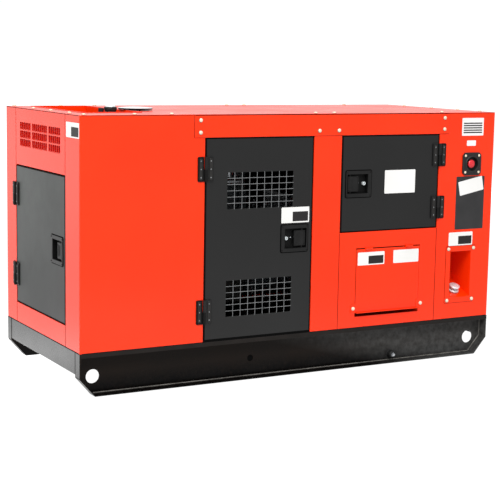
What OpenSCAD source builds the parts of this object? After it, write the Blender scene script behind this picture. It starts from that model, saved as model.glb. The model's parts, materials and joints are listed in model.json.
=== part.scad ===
// Canopied engine driven welder on a channel skid.
// Origin on the ground under the middle of the machine, +X to the right along the front, +Y to the back,
// +Z up, millimetres. Most places are measured from the canopy's front left lower corner: see in_hood().

/* [Canopy] */
// Length of the canopy
hood_l = 2155; // [2120:5:2300]
// Depth of the canopy from front to back
hood_w = 920; // [910:5:1000]
// Height of the canopy above the skid
hood_h = 1000; // [990:5:1060]
// Thickness of the canopy sheet
sheet_t = 2.5; // [1.5:0.1:3]
// Outside radius of the corner bends
bend_r = 6; // [4:0.5:10]
// Width of the corner panels on the ends, front side
front_leg_w = 165; // [150:1:175]
// Width of the corner panels on the ends, rear side
rear_leg_w = 136; // [120:1:150]
// Diameter of the canopy bolt heads
bolt_head_d = 16; // [12:1:20]
// Height of the canopy bolt heads
bolt_head_h = 6; // [4:0.5:8]
// Distance of the roof bolts from the roof's edge
bolt_edge = 30; // [20:1:40]

/* [Front bays] */
// Width of the front left panel
left_panel_w = 580; // [560:1:600]
// Width of the engine door bay
engine_bay_w = 547; // [520:1:570]
// Width of the post between the two front doors
mid_post_w = 152; // [140:1:160]
// Width of the control door bay
control_bay_w = 546; // [530:1:560]
// Height of the beam above the doors
beam_h = 97; // [80:1:110]
// How far the beam laps over the panels beside the bays
beam_lap = 54; // [40:1:60]
// Height of the control door
control_door_h = 444; // [420:1:460]

/* [Doors] */
// Gap between a door and the panels around it
door_gap = 5; // [4:0.5:8]
// Depth of a door's folded edge
door_t = 28; // [24:1:34]
// Room for the seal between a door and its stop
seal_gap = 1.5; // [1:0.1:4]
// Width of the stop behind a door's edge
stop_w = 18; // [12:1:22]
// Height of the end door's lower edge above the skid
end_door_z = 95; // [80:1:110]
// Height of the end door
end_door_h = 642; // [600:1:660]

/* [Hinges] */
// Height of a hinge
hinge_h = 108; // [90:1:120]
// Width of a hinge leaf from the pin
leaf_w = 38; // [32:1:44]
// Thickness of a hinge leaf
leaf_t = 5; // [3:0.5:6]
// Diameter of a hinge knuckle
knuckle_d = 14; // [12:0.5:18]
// Diameter of a hinge pin
pin_d = 8; // [6:0.5:9]
// Distance from a door's edge to its nearest hinge end
hinge_inset = 80; // [60:1:90]
// Distance from the control door's edge to its nearest hinge end
control_hinge_inset = 43; // [35:1:60]
// Radial running clearance of pins, shafts and plugs
run_clear = 0.05; // [0.02:0.01:0.1]
// Clearance between a moving curved face and a fixed face
face_clear = 0.4; // [0.3:0.1:1]

/* [Latches] */
// Width of a latch flange
latch_w = 138; // [130:1:150]
// Height of a latch flange
latch_h = 122; // [112:1:130]
// Thickness of a latch flange
latch_flange_t = 3; // [2:0.5:5]
// Width of the finger pan
pan_w = 112; // [106:1:118]
// Height of the finger pan
pan_h = 88; // [80:1:96]
// Depth of the finger pan
pan_depth = 18; // [16:1:22]
// Wall of the finger pan
pan_wall = 2; // [1.5:0.1:3]
// Width of a latch paddle
paddle_w = 58; // [52:1:62]
// Height of a latch paddle
paddle_h = 70; // [64:1:76]
// Thickness of a latch paddle
paddle_t = 4; // [3:0.5:5]
// Diameter of a paddle's pivot pin
paddle_pin_d = 5; // [4:0.5:6]
// Diameter of a lock plug
lock_d = 17; // [14:0.5:20]
// Height of the latch middle above the engine door's lower edge
latch_z = 438; // [400:1:480]
// Distance from a door's free edge to its latch middle
latch_edge = 93; // [85:1:105]

/* [Grilles] */
// Holes of a door grille across
grille_cols = 9; // [6:1:10]
// Holes of a door grille up
grille_rows = 6; // [4:1:7]
// Width of a grille hole
grille_hole_w = 33.5; // [28:0.5:34]
// Height of a grille hole
grille_hole_h = 23.5; // [18:0.5:24]
// Width of the bars between the holes
grille_bar = 4; // [3:0.5:6]
// Height of the lower grille above the door's lower edge
grille_low_z = 104; // [90:1:120]
// Height of the upper grille above the door's lower edge
grille_high_z = 583; // [560:1:600]
// Width of an end slot
slot_w = 15; // [10:0.5:18]
// Height of an end slot
slot_h = 30; // [24:1:34]
// Spacing of the end slots
slot_pitch = 23.7; // [20:0.1:26]
// Bar between two rows of end slots
slot_row_bar = 8; // [6:0.5:12]
// Gap between two groups of end slots
slot_group_gap = 26; // [20:1:30]

/* [Output side] */
// Width of the output flap
flap_w = 356; // [330:1:370]
// Height of the output flap
flap_h = 300; // [280:1:310]
// Height of the flap's lower edge above the skid
flap_z = 70; // [60:1:90]
// Height of the cable slot below the flap
cable_slot_h = 26; // [20:1:30]
// Depth of the terminal board behind the panel's face
terminal_depth = 110; // [90:1:130]
// Diameter of a weld stud
stud_d = 16; // [12:1:20]
// Length of a weld stud in front of its board
stud_l = 48; // [40:1:60]
// Distance between the weld studs
stud_pitch = 150; // [120:1:180]

/* [Refuelling] */
// Width of the refuelling pocket
pocket_w = 124; // [110:1:140]
// Height of the refuelling pocket
pocket_h = 226; // [200:1:240]
// Depth of the refuelling pocket
pocket_depth = 150; // [130:1:170]
// Width of the bolted border around the pocket
pocket_border = 26; // [22:1:32]
// Height of the pocket's lower edge above the skid
pocket_z = 104; // [95:1:120]
// Slope of the pocket's floor
pocket_slope = 24; // [15:1:30]
// Diameter of the filler cap
fuel_cap_d = 56; // [50:1:60]
// Height of the filler cap
fuel_cap_h = 36; // [30:1:42]
// Outside diameter of the filler neck
fuel_neck_d = 40; // [34:1:44]

/* [Emergency stop] */
// Width of the emergency stop housing
estop_w = 110; // [100:1:120]
// Depth of the emergency stop housing
estop_depth = 22; // [20:1:30]
// How far the emergency stop housing stands out of the panel
estop_proud = 8; // [6:0.5:12]
// Diameter of the emergency stop button
estop_d = 40; // [36:1:44]
// Travel of the emergency stop button
estop_travel = 6; // [4:0.5:8]
// Height of the emergency stop above the skid
estop_z = 753; // [740:1:770]

/* [Skid] */
// Height of the skid
base_h = 190; // [170:1:220]
// Depth of the channel flanges
rail_depth = 50; // [40:1:55]
// Thickness of the channel plate
rail_t = 6; // [4:0.5:8]
// Height of the lip under a rail's upper flange
rail_lip_h = 20; // [14:1:26]
// Length of the chamfer at a rail's lower end
chamfer_l = 70; // [60:1:75]
// Height of the chamfer at a rail's lower end
chamfer_h = 80; // [70:1:85]
// Diameter of a lifting hole
lift_hole_d = 62; // [50:1:66]
// Distance of a lifting hole from the rail's end
lift_hole_x = 78; // [70:1:90]
// Height of a lifting hole above the ground
lift_hole_z = 78; // [72:1:90]
// Height of the end plates
end_plate_h = 98; // [80:1:110]
// Height of the cross members
cross_h = 55; // [45:1:60]
// Length of the fuel tank
tank_l = 1150; // [1000:10:1160]
// Height of the fuel tank
tank_h = 105; // [90:1:110]
// Ground clearance of the fuel tank
tank_z = 20; // [15:1:25]

/* [Roof] */
// Distance of the hot air opening from the left end
vent_x = 95; // [85:1:105]
// Length of the hot air opening along the machine
vent_l = 267; // [250:1:275]
// Distance of the hot air opening from the front
vent_y = 190; // [180:1:200]
// Width of the hot air opening across the machine
vent_w = 650; // [630:1:655]
// Height of the lip around the hot air opening
vent_lip = 3.5; // [2:0.5:6]
// Diameter of the rain cover over the exhaust
rain_d = 156; // [140:1:160]
// Diameter of the exhaust pipe
exhaust_d = 64; // [54:1:70]

/* [Machine] */
// Height of the crank axis above the skid
crank_z = 330; // [320:1:340]
// Distance of the engine's front face from the left end
engine_x = 500; // [490:1:510]
// Length of the engine block
engine_l = 480; // [460:1:490]
// Length of the bell housing
bell_l = 100; // [90:1:110]
// Length of the welding generator
generator_l = 480; // [460:1:500]
// Diameter of the generator housing
generator_d = 372; // [360:1:380]
// Diameter of the crank shaft
crank_d = 40; // [34:1:44]
// Diameter of the crank pulley
crank_pulley_d = 160; // [150:1:164]
// Diameter of the fan pulley
fan_pulley_d = 130; // [120:1:140]
// Height of the fan axis above the crank axis
fan_rise = 210; // [200:1:216]
// Diameter of the cooling fan
fan_d = 526; // [480:1:530]
// Blades of the cooling fan
fan_blades = 7; // [5:1:9]
// Thickness of the radiator core along the machine
core_t = 65; // [55:1:70]
// Diameter of the radiator cap
rad_cap_d = 58; // [52:1:62]
// Diameter of the muffler
muffler_d = 170; // [150:1:176]
// Diameter of a rubber mount
mount_d = 70; // [60:1:76]
// Height of a rubber mount
mount_h = 50; // [45:1:55]

/* [Hidden] */
$fn = 48;
eps = 0.01;
red = "#e8412a";
charcoal = "#373636";
black = "#262524";
steel = "#9c9ea0";
grey = "#5c6064";

engine_bay_x = left_panel_w;
engine_bay_end = engine_bay_x + engine_bay_w;
control_bay_x = engine_bay_end + mid_post_w;
control_bay_end = control_bay_x + control_bay_w;
right_panel_w = hood_l - control_bay_end;
wall_h = hood_h - sheet_t;
beam_z = wall_h - beam_h;
half_gap = door_gap / 2;
stop_y = door_t + seal_gap;
return_d = stop_y + sheet_t;
mid_y = hood_w / 2;

big_door_z = half_gap;
big_door_h = beam_z - door_gap;
control_door_z = beam_z - half_gap - control_door_h;
output_panel_h = control_door_z - half_gap;
end_bay_y = front_leg_w;
end_bay_w = hood_w - front_leg_w - rear_leg_w;
end_bay_end = end_bay_y + end_bay_w;

seam = 0.8;
grille_x = 276;
end_slots_z = 90;
louvre_w = 150;
louvre_gap = 25;
louvre_cols = 3;
louvre_rows = 9;
louvre_pitch = 42;
louvre_slot = 16;
louvre_tilt = 35;
louvre_hood = louvre_slot + 6;
louvre_root = louvre_slot + 5;
louvre_z = 300;

knuckle_r = knuckle_d / 2;
hinge_out = knuckle_r + face_clear;
leaf_start = knuckle_r + 1.5;
knuckle_split = 0.4;

pan_shift = 6;
pivot_x = pan_shift + pan_w / 2 - 20;
lock_x = pan_shift - pan_w / 2 + lock_d / 2 + 5;
paddle_right = pan_shift + pan_w / 2 - 5;
paddle_face = 1;
pan_out_w = pan_w + 2 * pan_wall;
pan_out_h = pan_h + 2 * pan_wall;
latch_cut_clear = 0.5;
lock_out = 12;

flap_x = control_bay_x + (control_bay_w - flap_w) / 2;
flap_knuckle_d = 9;
flap_pin_d = 5;
flap_knuckle_l = 26;
flap_out = flap_knuckle_d / 2 + face_clear;
flap_axis_z = flap_z + flap_h + half_gap;
flap_hinge_inset = 50;
flap_lip = 16;
ear_w = 28;
ear_h = 44;
flap_lug_t = 6;
flap_tab_h = 8;
window_x = flap_x - half_gap;
window_w = flap_w + door_gap;
window_z = flap_z - cable_slot_h;
window_h = flap_h + door_gap + cable_slot_h;
board_t = 12;
board_front = terminal_depth - sheet_t;
board_back = board_front + board_t;
board_fit = 1;
board_tab = 24;
stud_z = flap_z + 0.6 * flap_h;
nut_t = 0.7 * stud_d;
nut_d = 1.8 * stud_d;

pocket_x = control_bay_end + 90;
plug_run = fuel_cap_d / 2 + 27;
plug_z = pocket_z + plug_run * sin(pocket_slope);
plug_y = plug_run * cos(pocket_slope);
plug_x = pocket_x + fuel_cap_d / 2 + 35;
neck_out = 14;
flange_t = 4;
fuel_bore = fuel_neck_d - 8;
level_bore = fuel_bore - 4;
neck_end_z = tank_z + tank_h / 2 + 8 - base_h;
neck_drop = (plug_z - neck_end_z) / cos(pocket_slope);
neck_end_y = plug_y + neck_drop * sin(pocket_slope);
estop_x = control_bay_end + 195;
estop_ring_r = 34;
estop_cup_r = estop_ring_r + 3;
estop_fit = 0.5;
estop_floor = 4;

bell_x = engine_x + engine_l;
generator_x = bell_x + bell_l;
core_x = 265;
rail_w = rail_depth + rail_t;
web_hole_x = 845;
web_hole_d = 30;
web_hole_z = 86;
drain_x = 1613;
drain_z = 35;
drain_d = 20;
tank_x = engine_x + 30;
tank_wall = 4;
engine_cross_x = engine_x + 60;
generator_cross_x = generator_x + 360;
battery_x = pocket_x - 190;
battery_l = 260;
cross_w = 80;
cross_xs = [core_x + core_t / 2, engine_cross_x, generator_cross_x, battery_x + 40, battery_x + 155];

fan_z = crank_z + fan_rise;
core_y = 150;
core_w = hood_w - 2 * core_y;
core_z = 260;
core_top = hood_h - 120;
tank_cap_h = 50;
shroud_x = core_x + core_t;
shroud_d = 42;
ring_l = 58;
ring_r = fan_d / 2 + 12;
fan_x = shroud_x + shroud_d + 14;
belt_x = engine_x - 58;
pulley_w = 28;
belt_w = 16;
belt_t = 9;
groove_depth = 12;
fan_shaft_d = 24;
pump_l = 28;
neck_x = vent_x + 211;
neck_y = mid_y - 60;
neck_d = 42;
overflow_x = 45;
rad_cap_h = 22;
rad_cap_rise = 17;
neck_top_drop = 6;
exhaust_x = vent_x + vent_l + 65;
rain_gap = 10;
block_half_w = 150;
head_half_w = 105;
intake_w = 55;
deck_z = crank_z + 300;
head_h = 90;
cover_h = 60;
muffler_z = hood_h - 110;
muffler_x = engine_x + 70;
muffler_l = 380;
control_board_y = 96;
knob_d = 60;
knob_l = 30;
knob_x = control_bay_x + 150;
knob_z = control_door_z + 170;
knob_shaft_d = 12;
switch_d = 30;
switch_l = 10;
switch_x = control_bay_x + 300;
collar_t = 8;
collar_d = knob_shaft_d + 14;
bell_d = generator_d + 50;
engine_foot_y = block_half_w + 45;
generator_foot_y = generator_d / 2 + 9;
foot_w = 80;
foot_l = 110;
foot_t = 12;
web_t = 14;

// How far the fittings stand out of the canopy on each side
hinge_reach = hinge_out + knuckle_r;
louvre_reach = louvre_hood * sin(louvre_tilt);
middle_x = (hinge_reach - louvre_reach) / 2;
middle_y = (flap_lip - hinge_reach) / 2;

// Places children measured from the canopy's front left lower corner
module in_hood() {
    translate([middle_x - hood_l / 2, middle_y - hood_w / 2, base_h]) children();
}

// Flat rounded rectangle from its lower left corner
module round_rect(w, h, r) {
    translate([r, 0]) square([w - 2 * r, h]);
    translate([0, r]) square([w, h - 2 * r]);
    for (x = [r, w - r], y = [r, h - r])
        translate([x, y]) circle(r);
}

// Extrudes a front view outline, drawn in X and Z, from y0 to y0 + depth
module from_front(y0, depth) {
    translate([0, y0 + depth, 0]) rotate([90, 0, 0]) linear_extrude(depth) children();
}

// Round bar along X
module bar_x(d, l) {
    rotate([0, 90, 0]) cylinder(d = d, h = l);
}

// Round bar along Y, towards the back
module bar_y(d, l) {
    rotate([-90, 0, 0]) cylinder(d = d, h = l);
}

// Sheet tray: face at y = 0, rim folded back; the children are holes in the face
module tray(w, h, depth) {
    from_front(0, sheet_t) difference() {
        square([w, h]);
        children();
    }
    from_front(sheet_t - eps, depth - sheet_t + eps) difference() {
        square([w, h]);
        translate([sheet_t, sheet_t]) square([w - 2 * sheet_t, h - 2 * sheet_t]);
    }
}

// Skid

// Side outline of a rail, moved inwards by d, from the canopy's lower left corner
function rail_outline(d) =
    let (c = norm([chamfer_l, chamfer_h]), nx = chamfer_h / c, nz = chamfer_l / c)
    let (z0 = chamfer_h - base_h + d * (nz - chamfer_h * (1 - nx) / chamfer_l))
    let (x0 = chamfer_l + d * (nx - chamfer_l * (1 - nz) / chamfer_h))
    [[d, -d], [hood_l - d, -d], [hood_l - d, z0], [hood_l - x0, d - base_h], [x0, d - base_h], [d, z0]];

module rail() {
    lip_t = 4;
    lap = 1;
    translate([rail_t - lap, 0, -rail_lip_h])
        cube([hood_l - 2 * (rail_t - lap), lip_t, rail_lip_h - rail_t + lap]);
    difference() {
        from_front(0, rail_w) polygon(rail_outline(0));
        from_front(-1, rail_depth + 1) polygon(rail_outline(rail_t));
        for (x = [lift_hole_x, hood_l - lift_hole_x])
            translate([x, 0, lift_hole_z - base_h]) bar_y(lift_hole_d, rail_w + 1);
        translate([web_hole_x, 0, web_hole_z - base_h]) bar_y(web_hole_d, rail_w + 1);
        translate([drain_x, 0, drain_z - base_h]) bar_y(drain_d + 4, rail_w + 1);
    }
}

module front_rail() {
    color(black) in_hood() rail();
}

module rear_rail() {
    color(black) in_hood() translate([0, hood_w, 0]) mirror([0, 1, 0]) rail();
}

// Folded end plate between the rails
module end_plate() {
    span = hood_w - 2 * rail_w;
    translate([0, rail_w, -end_plate_h]) cube([rail_t, span, end_plate_h]);
    translate([0, rail_w, -end_plate_h]) cube([40, span, rail_t]);
    translate([0, rail_w, -rail_t]) cube([40, span, rail_t]);
}

// Cross member: a channel open below
module cross_member() {
    span = hood_w - 2 * rail_w;
    difference() {
        translate([-cross_w / 2, rail_w, -cross_h]) cube([cross_w, span, cross_h]);
        translate([-cross_w / 2 + rail_t, rail_w - 1, -cross_h - 1])
            cube([cross_w - 2 * rail_t, span + 2, cross_h + 1 - rail_t]);
    }
}

module skid_crossmembers() {
    color(black) in_hood() {
        end_plate();
        translate([hood_l, 0, 0]) mirror([1, 0, 0]) end_plate();
        for (x = cross_xs)
            translate([x, 0, 0]) cross_member();
    }
}

module fuel_tank() {
    clear = 4;
    corner = 30;
    strap_w = 40;
    boss_out = 12;
    y0 = rail_w + clear;
    w = hood_w - 2 * y0;
    color(black) in_hood() translate([0, 0, -base_h]) {
        difference() {
            translate([tank_x, y0, tank_z]) linear_extrude(tank_h) round_rect(tank_l, w, corner);
            translate([tank_x + tank_wall, y0 + tank_wall, tank_z + tank_wall])
                linear_extrude(tank_h - 2 * tank_wall)
                    round_rect(tank_l - 2 * tank_wall, w - 2 * tank_wall, corner - tank_wall);
            translate([tank_x + tank_l - 50, neck_end_y, neck_end_z + base_h]) bar_x(level_bore, 60);
        }
        for (x = [engine_cross_x, generator_cross_x])
            translate([x - strap_w / 2, y0 + corner, tank_z + tank_h - eps])
                cube([strap_w, w - 2 * corner, base_h - cross_h - tank_z - tank_h + eps]);
        translate([drain_x, rail_depth - boss_out, drain_z]) bar_y(drain_d, y0 - rail_depth + boss_out + eps);
        translate([drain_x, rail_depth - 2 * boss_out, drain_z]) rotate([-90, 0, 0])
            cylinder(d = 32, h = boss_out + 2, $fn = 6);
    }
}

// Canopy panels

// Plan of a corner panel: face along X, leg along Y, each ending in a fold and a door stop
module corner_plan(face_w, leg_w) {
    reach = door_gap + stop_w;
    translate([bend_r, 0]) square([face_w - bend_r, sheet_t]);
    translate([0, bend_r]) square([sheet_t, leg_w - bend_r]);
    intersection() {
        square(bend_r);
        translate([bend_r, bend_r]) difference() {
            circle(bend_r);
            circle(bend_r - sheet_t);
        }
    }
    translate([face_w - sheet_t, 0]) square([sheet_t, return_d]);
    translate([face_w - sheet_t, stop_y]) square([reach + sheet_t, sheet_t]);
    translate([0, leg_w - sheet_t]) square([return_d, sheet_t]);
    translate([stop_y, leg_w - sheet_t]) square([sheet_t, reach + sheet_t]);
}

module front_left_panel() {
    color(red) in_hood()
        linear_extrude(wall_h) corner_plan(left_panel_w - half_gap, front_leg_w - half_gap);
}

module front_right_panel() {
    color(red) in_hood() difference() {
        translate([hood_l, 0, 0]) mirror([1, 0, 0])
            linear_extrude(wall_h) corner_plan(right_panel_w - half_gap, front_leg_w - half_gap);
        translate([pocket_x - sheet_t - 1, -1, pocket_z - sheet_t - 1])
            cube([pocket_w + 2 * sheet_t + 2, sheet_t + 2, pocket_h + 2 * sheet_t + 2]);
        translate([estop_x, -1, estop_z]) bar_y(2 * (estop_cup_r + estop_fit), sheet_t + 2);
    }
}

module rear_left_panel() {
    color(red) in_hood() translate([0, hood_w, 0]) mirror([0, 1, 0])
        linear_extrude(wall_h) corner_plan(left_panel_w - half_gap, rear_leg_w - half_gap);
}

module rear_right_panel() {
    color(red) in_hood() translate([hood_l, hood_w, 0]) mirror([0, 1, 0]) mirror([1, 0, 0])
        linear_extrude(wall_h) corner_plan(hood_l - engine_bay_end - half_gap, rear_leg_w - half_gap);
}

// Beam laid over the panels above the bays, with a header stop folded behind each door
module top_beam(beam_end, bays) {
    x0 = engine_bay_x - beam_lap;
    translate([x0, -sheet_t, beam_z]) cube([beam_end - x0, sheet_t, beam_h]);
    for (b = bays) {
        hx = b[0] + door_gap + 2 * stop_w;
        hl = b[1] - b[0] - 2 * (door_gap + 2 * stop_w);
        translate([hx, -eps, beam_z]) cube([hl, return_d + eps, sheet_t]);
        translate([hx, stop_y, beam_z - stop_w]) cube([hl, sheet_t, stop_w + sheet_t]);
    }
}

module top_beams() {
    engine_bay = [engine_bay_x, engine_bay_end];
    control_bay = [control_bay_x, control_bay_end];
    color(red) in_hood() {
        top_beam(control_bay_end + beam_lap, [engine_bay, control_bay]);
        translate([0, hood_w, 0]) mirror([0, 1, 0]) top_beam(control_bay_end + beam_lap, [engine_bay]);
    }
}

module mid_post() {
    w = mid_post_w - door_gap;
    reach = door_gap + stop_w;
    color(red) in_hood() translate([engine_bay_end + half_gap, 0, 0]) linear_extrude(wall_h) {
        square([w, sheet_t]);
        square([sheet_t, return_d]);
        translate([w - sheet_t, 0]) square([sheet_t, return_d]);
        translate([-reach, stop_y]) square([reach + sheet_t, sheet_t]);
        translate([w - sheet_t, stop_y]) square([reach + sheet_t, sheet_t]);
    }
}

// Two lugs and a fixed pin that carry one end of the output flap
module flap_lugs() {
    pin_l = flap_knuckle_l + 2 * (flap_lug_t + knuckle_split);
    for (x = [0, flap_knuckle_l + flap_lug_t + 2 * knuckle_split])
        translate([x, 0, 0]) {
            bar_x(flap_knuckle_d, flap_lug_t);
            translate([0, 0, -half_gap]) cube([flap_lug_t, flap_out + eps, flap_knuckle_d]);
        }
    bar_x(flap_pin_d, pin_l);
}

// Panel below the control door, with the flap's window and the box that holds the terminal board
module output_panel() {
    x0 = control_bay_x - half_gap + seam;
    w = control_bay_w + door_gap - 2 * seam;
    color(red) in_hood() {
        translate([x0, 0, 0]) tray(w, output_panel_h, stop_y)
            translate([window_x - x0, window_z]) square([window_w, window_h]);
        for (x = [flap_hinge_inset, flap_w - flap_hinge_inset - flap_knuckle_l])
            translate([flap_x + x - flap_lug_t - knuckle_split, -flap_out, flap_axis_z]) flap_lugs();
        from_front(sheet_t - eps, board_back + eps) difference() {
            translate([window_x - sheet_t, window_z - sheet_t])
                square([window_w + 2 * sheet_t, window_h + 2 * sheet_t]);
            translate([window_x, window_z]) square([window_w, window_h]);
        }
        for (x = [-eps, window_w - board_tab + eps])
            translate([window_x + x, board_back, window_z - eps])
                cube([board_tab, sheet_t, window_h + 2 * eps]);
    }
}

// One row of slots, centred on x = 0
module slot_row(count) {
    for (i = [0 : count - 1])
        translate([(i - (count - 1) / 2) * slot_pitch - slot_w / 2, 0]) square([slot_w, slot_h]);
}

// Three rows of three groups of slots, centred on x = 0
module end_slots() {
    wide = 7 * slot_pitch + slot_w;
    narrow = 5 * slot_pitch + slot_w;
    shift = (wide + narrow) / 2 + slot_group_gap;
    for (row = [0 : 2])
        translate([0, row * (slot_h + slot_row_bar)]) {
            slot_row(8);
            translate([-shift, 0]) slot_row(6);
            translate([shift, 0]) slot_row(6);
        }
}

// Turns a front facing piece to the left end; its x then runs from the back to the front
module on_left_end() {
    translate([0, end_bay_end, 0]) rotate([0, 0, -90]) children();
}

module left_end_panels() {
    x0 = -half_gap + seam;
    w = end_bay_w + door_gap - 2 * seam;
    upper_z = end_door_z + end_door_h + half_gap;
    color(red) in_hood() on_left_end() translate([x0, 0, 0]) {
        tray(w, end_door_z - half_gap, stop_y);
        translate([0, 0, upper_z]) tray(w, wall_h - upper_z, stop_y)
            translate([w / 2, end_slots_z]) end_slots();
    }
}

// Repeats its children over the places of the air inlet's slots
module louvre_grid() {
    for (c = [0 : louvre_cols - 1], r = [0 : louvre_rows - 1])
        translate([(c - (louvre_cols - 1) / 2) * (louvre_w + louvre_gap), r * louvre_pitch, 0]) children();
}

// Hood over one slot, in side view: up is +Y, outside is +X; its root is sunk into the sheet
module louvre_side() {
    sunk = 1;
    down = [sin(louvre_tilt), -cos(louvre_tilt)];
    under = [-cos(louvre_tilt), -sin(louvre_tilt)];
    root = [0, louvre_root] - down * sunk / sin(louvre_tilt);
    tip = [0, louvre_root] + down * louvre_hood;
    foot = [0, louvre_root - sheet_t / sin(louvre_tilt)] - down * sunk / sin(louvre_tilt);
    polygon([root, foot, tip + under * sheet_t, tip]);
}

module right_end_panel() {
    x0 = -half_gap + seam;
    w = end_bay_w + door_gap - 2 * seam;
    color(red) in_hood() translate([hood_l, end_bay_y, 0]) rotate([0, 0, 90]) translate([x0, 0, 0]) {
        tray(w, wall_h, stop_y)
            translate([(w - louvre_w) / 2, louvre_z]) louvre_grid() square([louvre_w, louvre_slot]);
        translate([(w - louvre_w) / 2, 0, louvre_z]) rotate([90, 0, 0]) louvre_grid()
            translate([louvre_w, 0, 0]) rotate([0, -90, 0]) linear_extrude(louvre_w) louvre_side();
    }
}

module roof_panel() {
    color(red) in_hood() translate([0, 0, wall_h]) linear_extrude(sheet_t) difference() {
        round_rect(hood_l, hood_w, bend_r);
        translate([vent_x - sheet_t, vent_y - sheet_t])
            square([vent_l + 2 * sheet_t, vent_w + 2 * sheet_t]);
        translate([exhaust_x, neck_y]) circle(d = exhaust_d + 12);
    }
}

// Sleeve below the roof opening; its left wall hangs lower and backs the end slots
module hot_air_duct() {
    sleeve_h = 60;
    baffle_h = 215;
    z0 = hood_h - sleeve_h;
    color(red) in_hood() {
        translate([vent_x - sheet_t, vent_y - sheet_t, z0]) linear_extrude(sleeve_h + vent_lip) difference() {
            square([vent_l + 2 * sheet_t, vent_w + 2 * sheet_t]);
            translate([sheet_t, sheet_t]) square([vent_l, vent_w]);
        }
        translate([vent_x - sheet_t, vent_y - sheet_t, hood_h - baffle_h])
            cube([sheet_t, vent_w + 2 * sheet_t, baffle_h - sleeve_h + eps]);
    }
}

module rain_cover() {
    leg_r = exhaust_d / 2 + 16;
    color(black) in_hood() translate([exhaust_x, neck_y, hood_h]) {
        translate([0, 0, rain_gap]) rotate_extrude() polygon([
            [0, 4], [rain_d / 4, 3.2], [rain_d / 2, 0], [rain_d / 2, 2], [rain_d / 4, 5.4], [0, 6.4]]);
        for (a = [30, 150, 270])
            rotate([0, 0, a]) translate([leg_r, 0, 0]) cylinder(d = 8, h = rain_gap + 2.2);
    }
}

// One capped bolt head standing on z = 0
module bolt_head() {
    cylinder(d = bolt_head_d, h = bolt_head_h * 0.55);
    translate([0, 0, bolt_head_h * 0.55 - eps])
        cylinder(d1 = bolt_head_d, d2 = bolt_head_d * 0.6, h = bolt_head_h * 0.45 + eps);
}

// Bolt head on a front face at x, z
module front_bolt(x, z, y) {
    translate([x, y, z]) rotate([90, 0, 0]) bolt_head();
}

module canopy_bolts() {
    beam_x0 = engine_bay_x - beam_lap + 28;
    beam_x1 = control_bay_end + beam_lap - 28;
    post = [engine_bay_end + 27, control_bay_x - 21];
    side_ys = [bolt_edge, 0.207 * hood_w, 0.446 * hood_w, 0.685 * hood_w, hood_w - bolt_edge];
    right_shares = [0.092, 0.283, 0.522, 0.783];
    edge_shares = [0.12, 0.2, 0.534, 0.58, 0.861];
    bx = pocket_x - pocket_border / 2;
    bz = pocket_z - pocket_border / 2;
    color("#e9e2d6") in_hood() {
        for (x = [beam_x0, beam_x1], z = [beam_z + 22, beam_z + 75]) {
            front_bolt(x, z, -sheet_t);
            translate([0, hood_w, 0]) mirror([0, 1, 0]) front_bolt(x, z, -sheet_t);
        }
        for (x = post)
            front_bolt(x, beam_z + 23, -sheet_t);
        for (dx = [0, pocket_w + pocket_border], dz = [0, pocket_h + pocket_border])
            front_bolt(bx + dx, bz + dz, -sheet_t);
        for (y = side_ys)
            translate([bolt_edge, y, hood_h]) bolt_head();
        for (s = right_shares)
            translate([hood_l - bolt_edge, s * hood_w, hood_h]) bolt_head();
        for (s = edge_shares, y = [bolt_edge, hood_w - bolt_edge])
            translate([s * hood_l, y, hood_h]) bolt_head();
    }
}

// Hinges: pin along Z at the origin, outside towards -Y, door towards +X, panel face at y = hinge_out

// Leaf outline from the pin outwards, cut back beside the other leaf's knuckle
module leaf_outline(own_z) {
    difference() {
        round_rect(leaf_w, hinge_h, 6);
        translate([-1, own_z]) square([leaf_start + 1, hinge_h / 2]);
    }
    translate([0, hinge_h / 2 - own_z + knuckle_split / 2]) square([8, hinge_h / 2 - knuckle_split]);
}

module frame_leaf() {
    from_front(hinge_out - leaf_t, leaf_t) mirror([1, 0]) leaf_outline(hinge_h / 2);
    cylinder(d = knuckle_d, h = hinge_h / 2 - knuckle_split);
    cylinder(d = pin_d, h = hinge_h);
}

module door_leaf() {
    z0 = hinge_h / 2 + knuckle_split / 2;
    difference() {
        union() {
            from_front(hinge_out - leaf_t, leaf_t) leaf_outline(0);
            translate([0, 0, z0]) cylinder(d = knuckle_d, h = hinge_h - z0);
        }
        translate([0, 0, -1]) cylinder(d = pin_d + 2 * run_clear, h = hinge_h + 2);
    }
}

// Puts a piece at both hinge places of a door that starts at height z0
module hinge_pair(z0, h, inset) {
    for (z = [z0 + inset, z0 + h - inset - hinge_h])
        translate([0, -hinge_out, z]) children();
}

module engine_hinges() {
    translate([engine_bay_x, 0, 0]) hinge_pair(big_door_z, big_door_h, hinge_inset) children();
}

module control_hinges() {
    translate([control_bay_end, 0, 0]) mirror([1, 0, 0])
        hinge_pair(control_door_z, control_door_h, control_hinge_inset) children();
}

module end_hinges() {
    on_left_end() hinge_pair(end_door_z, end_door_h, hinge_inset) children();
}

module rear_hinges() {
    translate([0, hood_w, 0]) mirror([0, 1, 0]) engine_hinges() children();
}

module frame_hinge_leaves() {
    color(black) in_hood() {
        engine_hinges() frame_leaf();
        control_hinges() frame_leaf();
        end_hinges() frame_leaf();
        rear_hinges() frame_leaf();
    }
}

// Latches: middle of the flange at the origin on the door's face, free edge towards +X, outside towards -Y

module latch_hole() {
    w = pan_out_w + 2 * latch_cut_clear;
    h = pan_out_h + 2 * latch_cut_clear;
    translate([pan_shift - w / 2, -h / 2]) square([w, h]);
}

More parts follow.
